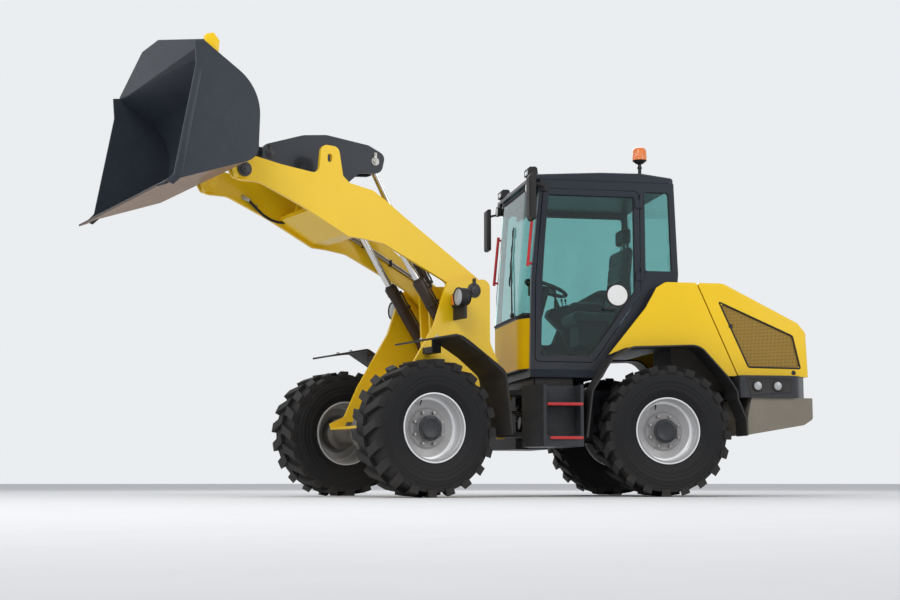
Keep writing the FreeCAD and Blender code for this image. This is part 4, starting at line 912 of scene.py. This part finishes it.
wiper = {"foot": (1.150, 0.30, 1.525), "tip": (1.1085, 0.10, 2.06), "blade": 0.52}
foot, tip = Vector(wiper["foot"]), Vector(wiper["tip"])
arm = [rod((1.132, 0.30, 1.525), (1.162, 0.30, 1.528), 0.024, 24, 0.019), rod(foot, tip, 0.0075, 10, 0.005)]
slope = Vector((-0.0773, 0, 1)).normalized()
bladeMiddle = tip + Vector((-0.004, 0, 0))
arm.append(rod(bladeMiddle - slope * wiper["blade"] / 2, bladeMiddle + slope * wiper["blade"] / 2, 0.006, 8))
for share in (-0.4, -0.13, 0.13, 0.4):
    middle = bladeMiddle + slope * wiper["blade"] * share + Vector((0.006, 0, 0))
    arm.append(rod(middle - slope * 0.03, middle + slope * 0.03, 0.0045, 6))
fit(arm, blackPlastic, "wiper", rearPlace, "chassis", 0.001)

# roof front: a lens and bezel on each box, and a round lamp hung under each corner
roofLamp = {"x": 1.066, "box": ((0.452, 0.588), (2.694, 2.742)), "round": (1.075, 0.575, 2.575), "radius": 0.046}
roofParts = []
roofLenses = []
for side in (1, -1):
    (yLow, yHigh), (zLow, zHigh) = roofLamp["box"]
    x = roofLamp["x"]
    frameLow, frameHigh = sorted((side * yLow, side * yHigh))
    bezel = slab((x - 0.01, frameLow, zLow - 0.004), (x + 0.006, frameHigh, zHigh + 0.004))
    pick(bezel, lambda face: face.normal.x > 0.9)
    bpy.ops.mesh.inset(thickness=0.007)
    bpy.ops.mesh.extrude_region_move(TRANSFORM_OT_translate={"value": (-0.005, 0, 0)})
    done()
    roofParts.append(bezel)
    lens = slab((x - 0.002, frameLow + 0.007, zLow + 0.003), (x + 0.002, frameHigh - 0.007, zHigh - 0.003))
    pick(lens, lambda face: face.normal.x > 0.9)
    bpy.ops.mesh.inset(thickness=0.01)
    bpy.ops.transform.translate(value=(0.003, 0, 0))
    done()
    roofLenses.append(lens)
    x, y, z = roofLamp["round"]
    middle = Vector((x, side * y, z))
    cup = rod(middle + Vector((-0.055, 0, 0)), middle, roofLamp["radius"] * 0.6, 32, roofLamp["radius"])
    pick(cup, lambda face: face.normal.x > 0.9)
    bpy.ops.mesh.extrude_region_move(TRANSFORM_OT_translate={"value": (0.012, 0, 0)})
    bpy.ops.mesh.inset(thickness=0.005)
    bpy.ops.mesh.extrude_region_move(TRANSFORM_OT_translate={"value": (-0.006, 0, 0)})
    done()
    roofParts.append(cup)
    roofParts.append(slab(middle + Vector((-0.04, -0.012, 0.03)), middle + Vector((-0.015, 0.012, 0.07))))
    lens = rod(middle + Vector((0.004, 0, 0)), middle + Vector((0.008, 0, 0)), roofLamp["radius"] - 0.005, 32)
    pick(lens, lambda face: face.normal.x > 0.9)
    for rise in (0.004, 0.002):
        bpy.ops.mesh.inset(thickness=0.012)
        bpy.ops.transform.translate(value=(rise, 0, 0))
    done()
    roofLenses.append(lens)
fit(roofParts, blackPlastic, "roofLampHousings", rearPlace, "chassis", 0.0015)
fit(roofLenses, lampLens, "roofLampLenses", rearPlace, "chassis", 0)

# cab inside: console with levers, display, floor mat, sun blind
cabin = {"floor": 1.0455, "deck": 1.2905}
console = plate(((0.10, 1.50), (0.12, 1.66), (0.50, 1.70), (0.66, 1.66), (0.68, 1.60), (0.54, 1.46), (0.46, 1.2915),
                 (0.10, 1.2915)), -0.46, -0.30)
consoleTop = slab((0.16, -0.452, 1.672), (0.46, -0.308, 1.712))
pick(consoleTop, lambda face: face.normal.z > 0.9)
bpy.ops.mesh.inset(thickness=0.025)
bpy.ops.transform.translate(value=(0, 0, 0.018))
done()
fit([console, consoleTop], blackPlastic, "console", rearPlace, "chassis", 0.012)
levers = [rod((0.575, -0.38, 1.675), (0.59, -0.38, 1.76), 0.03, 20, 0.012),
          rod((0.588, -0.38, 1.75), (0.60, -0.38, 1.80), 0.01, 12),
          rod((0.598, -0.38, 1.79), (0.615, -0.375, 1.865), 0.019, 20, 0.027),
          rod((0.614, -0.375, 1.86), (0.618, -0.374, 1.885), 0.027, 20, 0.016)]
for row, x in enumerate((0.50, 0.535)):
    levers.append(rod((x, -0.335, 1.69), (x + 0.01, -0.335, 1.74), 0.005, 10))
    levers.append(rod((x + 0.008, -0.335, 1.732), (x + 0.012, -0.335, 1.757), 0.011, 16, 0.008))
fit(levers, hoseRubber, "controlLevers", rearPlace, "chassis", 0.002)
panel = slab((0.86, -0.135, 1.752), (0.905, 0.135, 1.868))
pick(panel, lambda face: face.normal.x < -0.9)
bpy.ops.mesh.inset(thickness=0.012)
bpy.ops.mesh.extrude_region_move(TRANSFORM_OT_translate={"value": (0.006, 0, 0)})
done()
neck = rod((0.885, 0, 1.66), (0.885, 0, 1.758), 0.022, 20)
fit([panel, neck], blackPlastic, "displayHousing", rearPlace, "chassis", 0.005)
mat = slab((0.53, -0.60, cabin["floor"]), (1.02, 0.60, cabin["floor"] + 0.012))
pick(mat, lambda face: face.normal.z > 0.9)
bpy.ops.mesh.inset(thickness=0.02)
bpy.ops.transform.translate(value=(0, 0, -0.004))
done()
fit([mat], hoseRubber, "floorMat", rearPlace, "chassis", 0.003)
pedals = []
for y in (-0.20, 0.17, 0.29):
    pedals.append(rod((0.93, y, 1.06), (0.89, y, 1.15), 0.009, 10))
    pedal = slab((0.868, y - 0.035, 1.13), (0.885, y + 0.035, 1.23))
    pick(pedal, lambda face: face.normal.x < -0.9)
    bpy.ops.mesh.inset(thickness=0.006)
    bpy.ops.mesh.extrude_region_move(TRANSFORM_OT_translate={"value": (-0.004, 0, 0)})
    done()
    pedals.append(pedal)
fit(pedals, darkSteel, "pedals", rearPlace, "chassis", 0.002)
blind = slab((0.90, -0.50, 2.47), (0.915, 0.50, 2.592))
pick(blind, lambda face: abs(face.normal.x) > 0.9)
bpy.ops.mesh.inset(thickness=0.015)
done()
blindRoll = rod((0.915, -0.52, 2.585), (0.915, 0.52, 2.585), 0.013, 16)
fit([blind, blindRoll], blackPlastic, "sunBlind", rearPlace, "chassis", 0.004)
inner = slab((0.93, -0.24, 1.49), (1.09, 0.24, 1.535))
pick(inner, lambda face: face.normal.z > 0.9)
bpy.ops.mesh.inset(thickness=0.04)
bpy.ops.transform.translate(value=(-0.02, 0, 0.03))
done()
fit([inner], blackPlastic, "dashTop", rearPlace, "chassis", 0.01)
spokes = []
wheelTurn = Matrix.Translation((0.775, 0, 1.805)) @ Matrix.Rotation(math.radians(-20), 4, "Y")
bpy.ops.object.select_all(action="DESELECT")
bpy.ops.mesh.primitive_torus_add(major_segments=64, minor_segments=16, major_radius=0.185, minor_radius=0.0155)
grip = bpy.context.object
pick(grip, lambda face: int((math.atan2(face.center.y, face.center.x) + math.pi) * 16 / math.pi) % 2 == 0
     and math.hypot(face.center.x, face.center.y) < 0.183)
bpy.ops.transform.shrink_fatten(value=0.0016)
done()
spokes.append(grip)
for angle in (90, 210, 330):
    turn = math.radians(angle)
    bar = slab((0.03, -0.016, -0.006), (0.178, 0.016, 0.003))
    bar.matrix_world = Matrix.Rotation(turn, 4, "Z")
    solo(bar)
    bpy.ops.object.transform_apply(location=True, rotation=True, scale=True)
    spokes.append(soften(bar, 0.003, 2))
spokes.append(soften(rod((0, 0, -0.022), (0, 0, 0.012), 0.046, 32, 0.038), 0.005, 3))
spokes.append(rod((0.12, 0.13, -0.004), (0.118, 0.128, 0.035), 0.006, 12))
spokes.append(soften(rod((0.118, 0.128, 0.03), (0.118, 0.128, 0.06), 0.019, 20, 0.023), 0.006, 3))
handWheel = joined(spokes)
handWheel.matrix_world = wheelTurn
fit([handWheel], hoseRubber, "handWheel", rearPlace, "chassis", 0, ("steering_wheel",))
print("cab fitted out")

# seat: cushion and back blown up by a cloth simulation, then the sewn channels pressed in
seat = {"voxel": 0.006, "pressure": 4, "steps": 20, "cap": 0.011, "fill": 0.6,
        "cushion": ((0.105, 1.487), (0.585, 1.490), (0.598, 1.572), (0.54, 1.579), (0.105, 1.562)),
        "back": ((0.101, 1.592), (0.184, 1.594), (0.125, 2.13), (0.108, 2.168), (0.052, 2.168), (0.044, 2.13)),
        "halfWidth": 0.234, "channelDeep": 0.009, "channelWide": 0.011}


def blowUp(piece, base):
    # grows the closed shape by air pressure, no point further than the cap and none under the base
    solo(piece)
    grain = piece.modifiers.new("grain", "REMESH")
    grain.mode = "VOXEL"
    grain.voxel_size = seat["voxel"]
    bpy.ops.object.modifier_apply(modifier="grain")
    start = [vertex.co.copy() for vertex in piece.data.vertices]
    cloth = piece.modifiers.new("air", "CLOTH")
    cloth.settings.use_pressure = True
    cloth.settings.uniform_pressure_force = seat["pressure"]
    cloth.settings.effector_weights.gravity = 0
    for step in range(1, seat["steps"] + 1):
        bpy.context.scene.frame_set(step)
    bpy.ops.object.modifier_apply(modifier="air")
    for vertex, before in zip(piece.data.vertices, start):
        moved = vertex.co - before
        if moved.length > seat["cap"]:
            vertex.co = before + moved.normalized() * seat["cap"]
        vertex.co.z = max(vertex.co.z, base)
    return piece


def pressChannels(piece, distanceTo, outward):
    # a soft groove wherever the given distance is near zero, on the faces that look outward
    deep, wide = seat["channelDeep"], seat["channelWide"]
    for vertex in piece.data.vertices:
        facing = max(vertex.normal.dot(outward), 0)
        groove = math.exp(-(distanceTo(vertex.co) / wide) ** 2)
        vertex.co -= vertex.normal * deep * groove * facing
    smoother = piece.modifiers.new("finer", "SUBSURF")
    smoother.levels = 1
    smoother.render_levels = 1
    solo(piece)
    bpy.ops.object.modifier_apply(modifier="finer")
    bpy.ops.object.shade_smooth()
    return piece


cushion = soften(plate(seat["cushion"], -seat["halfWidth"], seat["halfWidth"]), 0.022, 3)
blowUp(cushion, 1.4815)
pressChannels(cushion, lambda co: min(abs(abs(co.y) - 0.15), abs(co.x - 0.2), abs(co.x - 0.32), abs(co.x - 0.44)),
              Vector((0, 0, 1)))
settle(paint(cushion, seatCloth), "seatCushion", rearPlace, "chassis", ("seat_cushion",))
backrest = soften(plate(seat["back"], -seat["halfWidth"] + 0.006, seat["halfWidth"] - 0.006), 0.022, 3)
blowUp(backrest, 1.583)
pressChannels(backrest, lambda co: min(abs(abs(co.y) - 0.145), abs(co.z - 1.74), abs(co.z - 1.88), abs(co.z - 2.02)),
              Vector((1, 0, 0.1)).normalized())
settle(paint(backrest, seatCloth), "seatBack", rearPlace, "chassis", ("seat_back",))
headRest = soften(slab((0.028, -0.13, 2.205), (0.105, 0.13, 2.345)), 0.03, 5)
solo(headRest)
rounder = headRest.modifiers.new("rounder", "SUBSURF")
rounder.levels = 2
rounder.render_levels = 2
bpy.ops.object.modifier_apply(modifier="rounder")
bpy.ops.object.shade_smooth()
settle(paint(headRest, seatCloth), "headRest", rearPlace, "chassis")
posts = [rod((0.066, y, 2.14), (0.064, y, 2.23), 0.007, 12) for y in (-0.07, 0.07)]
fit(posts, zincSteel, "headRestPosts", rearPlace, "chassis", 0)
armRest = soften(slab((0.13, 0.245, 1.70), (0.42, 0.285, 1.745)), 0.015, 4)
fit([armRest, rod((0.15, 0.245, 1.722), (0.15, 0.215, 1.722), 0.014, 16)], hoseRubber, "armRest", rearPlace, "chassis",
    0)
print("seat padded")

# rear: lens and bezel on each tail light, latches, grille frames, handle
rearTrim = {"lights": (0.505, 0.595), "z": 0.917, "face": -1.309, "radius": 0.036}
bezels = []
lenses = {"tailLenses": [], "turnLenses": []}
for side in (1, -1):
    for place, y in enumerate(rearTrim["lights"]):
        face = rearTrim["face"]
        ring = rod((face + 0.006, side * y, rearTrim["z"]), (face - 0.003, side * y, rearTrim["z"]), rearTrim["radius"] + 0.005, 40)
        pick(ring, lambda part: part.normal.x < -0.9)
        bpy.ops.mesh.inset(thickness=0.006)
        bpy.ops.mesh.extrude_region_move(TRANSFORM_OT_translate={"value": (0.004, 0, 0)})
        done()
        bezels.append(ring)
        lens = rod((face, side * y, rearTrim["z"]), (face - 0.003, side * y, rearTrim["z"]), rearTrim["radius"] - 0.001, 40)
        pick(lens, lambda part: part.normal.x < -0.9)
        for rise in (0.003, 0.0015):
            bpy.ops.mesh.inset(thickness=0.011)
            bpy.ops.transform.translate(value=(-rise, 0, 0))
        done()
        lenses["tailLenses" if place else "turnLenses"].append(lens)
fit(bezels, blackPlastic, "tailBezels", rearPlace, "chassis", 0.001)
fit(lenses["tailLenses"], redLens, "tailLenses", rearPlace, "chassis", 0)
fit(lenses["turnLenses"], amberLens, "turnLenses", rearPlace, "chassis", 0)

# skirt that closes the gap between the cab floor and the boxes under it
skirt = {"low": 0.9065, "high": 0.9795, "side": 0.645, "rear": 0.705, "front": 1.045, "wall": 0.012}
skirtParts = []
for side in (1, -1):
    low, high = sorted((side * skirt["side"], side * (skirt["side"] - skirt["wall"])))
    skirtParts.append(slab((skirt["rear"], low, skirt["low"]), (skirt["front"], high, skirt["high"])))
    for x in (0.80, 0.95):
        face = side * skirt["side"]
        skirtParts.append(rod((x, face, 0.944), (x, face + side * 0.006, 0.944), 0.011, 6))
skirtParts.append(slab((skirt["front"] - skirt["wall"], -skirt["side"], skirt["low"]),
                       (skirt["front"], skirt["side"], skirt["high"])))
skirtParts.append(slab((skirt["rear"], -skirt["side"], skirt["low"]),
                       (skirt["rear"] + skirt["wall"], skirt["side"], skirt["high"])))
fit(skirtParts, blackPlastic, "cabSkirt", rearPlace, "chassis", 0.002)

# a dark recess with two round lamps in each side of the bumper
sideLamp = {"face": 0.93, "z": 0.912, "spots": (-0.79, -0.965), "radius": 0.043}
panels = []
sideRings = []
sideLenses = []
for side in (1, -1):
    at = sideLamp
    low, high = sorted((side * (at["face"] - 0.002), side * (at["face"] + 0.005)))
    outline = ((-0.69, 0.985), (-1.1, 0.985), (-1.085, 0.86), (-0.73, 0.832))
    panel = plate(outline, low, high)
    pick(panel, lambda face: face.normal.y * side > 0.9)
    bpy.ops.mesh.inset(thickness=0.01)
    bpy.ops.mesh.extrude_region_move(TRANSFORM_OT_translate={"value": (0, -side * 0.004, 0)})
    done()
    panels.append(panel)
    for x in at["spots"]:
        ring = rod((x, side * at["face"], at["z"]), (x, side * (at["face"] + 0.016), at["z"]), at["radius"], 40)
        pick(ring, lambda face: face.normal.y * side > 0.9)
        bpy.ops.mesh.inset(thickness=0.008)
        bpy.ops.mesh.extrude_region_move(TRANSFORM_OT_translate={"value": (0, -side * 0.007, 0)})
        done()
        sideRings.append(ring)
        lens = rod((x, side * at["face"], at["z"]), (x, side * (at["face"] + 0.01), at["z"]), at["radius"] - 0.008, 40)
        pick(lens, lambda face: face.normal.y * side > 0.9)
        for rise in (0.003, 0.0015):
            bpy.ops.mesh.inset(thickness=0.011)
            bpy.ops.transform.translate(value=(0, side * rise, 0))
        done()
        sideLenses.append(lens)
fit(panels + sideRings, blackPlastic, "bumperSidePanels", rearPlace, "chassis", 0.0015)
fit(sideLenses, lampLens, "bumperSideLenses", rearPlace, "chassis", 0)

grilleEdge = ((-0.52, 1.622), (-1.167, 1.346), (-1.231, 1.071), (-0.77, 1.077))
fit([loopTube([(x, side * 0.788, z) for x, z in grilleEdge], 0.03, 0.0075) for side in (1, -1)], sealRubber,
    "grilleSeals", rearPlace, "hood", 0)
rearEdge = ((-1.3035, -0.515, 1.085), (-1.3035, 0.515, 1.085), (-1.2895, 0.515, 1.325), (-1.2895, -0.515, 1.325))
slats = [loopTube(rearEdge, 0.02, 0.007)]
for row in range(7):
    z = 1.11 + row * 0.0325
    x = -1.3005 + (z - 1.08) * 0.056
    slats.append(slab((x - 0.002, -0.512, z - 0.004), (x + 0.014, 0.512, z + 0.004)))
fit(slats, blackPlastic, "rearSlats", rearPlace, "hood", 0)
latches = []
for side in (1, -1):
    for x, z in ((-0.62, 1.42), (-1.17, 1.035)):
        latches.append(rod((x, side * 0.7895, z), (x, side * 0.796, z), 0.02, 28, 0.017))
        latches.append(rod((x, side * 0.796, z), (x, side * 0.798, z), 0.007, 6))
fit(latches, blackPlastic, "hoodLatches", rearPlace, "hood", 0.0012)
grip = hose(((-1.282, -0.09, 1.40), (-1.308, -0.09, 1.398), (-1.311, -0.05, 1.397), (-1.311, 0.05, 1.397),
             (-1.308, 0.09, 1.398), (-1.282, 0.09, 1.40)), 0.009)
fit([grip], blackPlastic, "hoodHandle", rearPlace, "hood", 0)
print("rear dressed")

# fenders: a bead along the free edges and bolt heads on top
fender = {"axle": 2.364, "outer": 0.985,
          "route": ((0.15, 1.198), (-0.18, 1.263), (-0.25, 1.243), (-0.427, 1.123), (-0.6, 1.008), (-0.64, 0.955),
                    (-0.684, 0.50))}
beads = []
heads = []
for side in (1, -1):
    beads.append(hose([(fender["axle"] + x, side * fender["outer"], z) for x, z in fender["route"]], 0.0085))
    for x, z, lean in ((-0.05, 1.246, 0.2), (-0.34, 1.194, -0.8)):
        for y in (0.64, 0.90):
            out = Vector((lean * 0.6, 0, 1)).normalized()
            start = Vector((fender["axle"] + x, side * y, z))
            heads.append(rod(start, start + out * 0.012, 0.017, 24, 0.011))
fit(beads, hoseRubber, "fenderBeads", frontPlace, "front", 0)
fit(heads, zincSteel, "fenderBolts", frontPlace, "front", 0.001)

# underneath: drive shafts and the hoses across the hinge
drive = [rod((0.22, 0, 0.56), (0.95, 0, 0.62), 0.034, 28), rod((0.14, 0, 0.553), (0.24, 0, 0.562), 0.055, 28, 0.04),
         rod((0.93, 0, 0.618), (1.02, 0, 0.626), 0.042, 28, 0.055), rod((0.30, 0, 0.566), (0.315, 0, 0.567), 0.062, 8)]
fit(drive, darkSteel, "rearDriveShaft", rearPlace, "chassis", 0.003)
frontDrive = [rod((1.45, 0, 0.61), (2.12, 0, 0.56), 0.034, 28), rod((1.38, 0, 0.615), (1.46, 0, 0.61), 0.055, 28, 0.04),
              rod((2.10, 0, 0.561), (2.19, 0, 0.556), 0.04, 28, 0.055)]
fit(frontDrive, darkSteel, "frontDriveShaft", frontPlace, "front", 0.003)
hingeHoses = []
for row in range(3):
    y = -0.12 - row * 0.03
    hingeHoses.append(hose(((0.92, y, 0.785), (0.955, y, 0.785), (1.0, y, 0.765), (1.015, y, 0.71), (1.0, y, 0.65),
                            (0.96, y, 0.615), (0.92, y, 0.61)), 0.0105))
fit(hingeHoses, hoseRubber, "hingeHoses", rearPlace, "chassis", 0)
print("underside dressed")

# floor, backdrop and light
bpy.ops.object.select_all(action="DESELECT")
bpy.ops.mesh.primitive_circle_add(vertices=128, radius=90, fill_type="NGON", location=(0, 0, 0))
floor = bpy.context.object
floor.name = "floor"
floorFinish = Finish("floorFinish")
floorGrain = floorFinish.noise(3, 5)
floorFinish.set(color=floorFinish.mix(floorGrain, (0.70, 0.705, 0.71), (0.76, 0.765, 0.77)), rough=0.9, shine=0.1,
                normal=floorFinish.bump(floorFinish.noise(60, 3), 0.05, 0.002))
paint(floor, floorFinish)

lamps = (
    # name, place, aim, size, watts
    ("key", (4.5, 8.5, 8.0), (0, 0, 1.4), 5.0, 500),
    ("front", (9.5, 3.0, 5.0), (0.5, 0, 1.6), 4.0, 210),
    ("fill", (-7.5, 7.0, 4.5), (-0.6, 0, 1.3), 5.0, 190),
    ("back", (-2.0, -8.0, 6.5), (0, 0, 1.6), 5.0, 240),
)
for name, spotAt, aim, size, watts in lamps:
    data = bpy.data.lights.new(name, "AREA")
    data.size = size
    data.energy = watts
    lamp = bpy.data.objects.new(name, data)
    bpy.context.scene.collection.objects.link(lamp)
    lamp.location = spotAt
    lamp.rotation_euler = (Vector(aim) - Vector(spotAt)).to_track_quat("-Z", "Y").to_euler()

world = bpy.data.worlds.new("studio")
bpy.context.scene.world = world
world.use_nodes = True
sky = world.node_tree
background = sky.nodes["Background"]
background.inputs["Color"].default_value = (0.93, 0.95, 1.0, 1)
background.inputs["Strength"].default_value = 0.62
pale = sky.nodes.new("ShaderNodeBackground")
pale.inputs["Color"].default_value = (0.83, 0.85, 0.87, 1)
pale.inputs["Strength"].default_value = 1.0
paths = sky.nodes.new("ShaderNodeLightPath")
blend = sky.nodes.new("ShaderNodeMixShader")
seen = Wire(sky, paths.outputs["Is Camera Ray"])
for ray in ("Is Glossy Ray", "Is Transmission Ray"):
    seen = seen.calc("MAXIMUM", Wire(sky, paths.outputs[ray]))
sky.links.new(seen.socket, blend.inputs[0])
sky.links.new(background.outputs[0], blend.inputs[1])
sky.links.new(pale.outputs[0], blend.inputs[2])
sky.links.new(blend.outputs[0], sky.nodes["World Output"].inputs["Surface"])
print("studio lit")
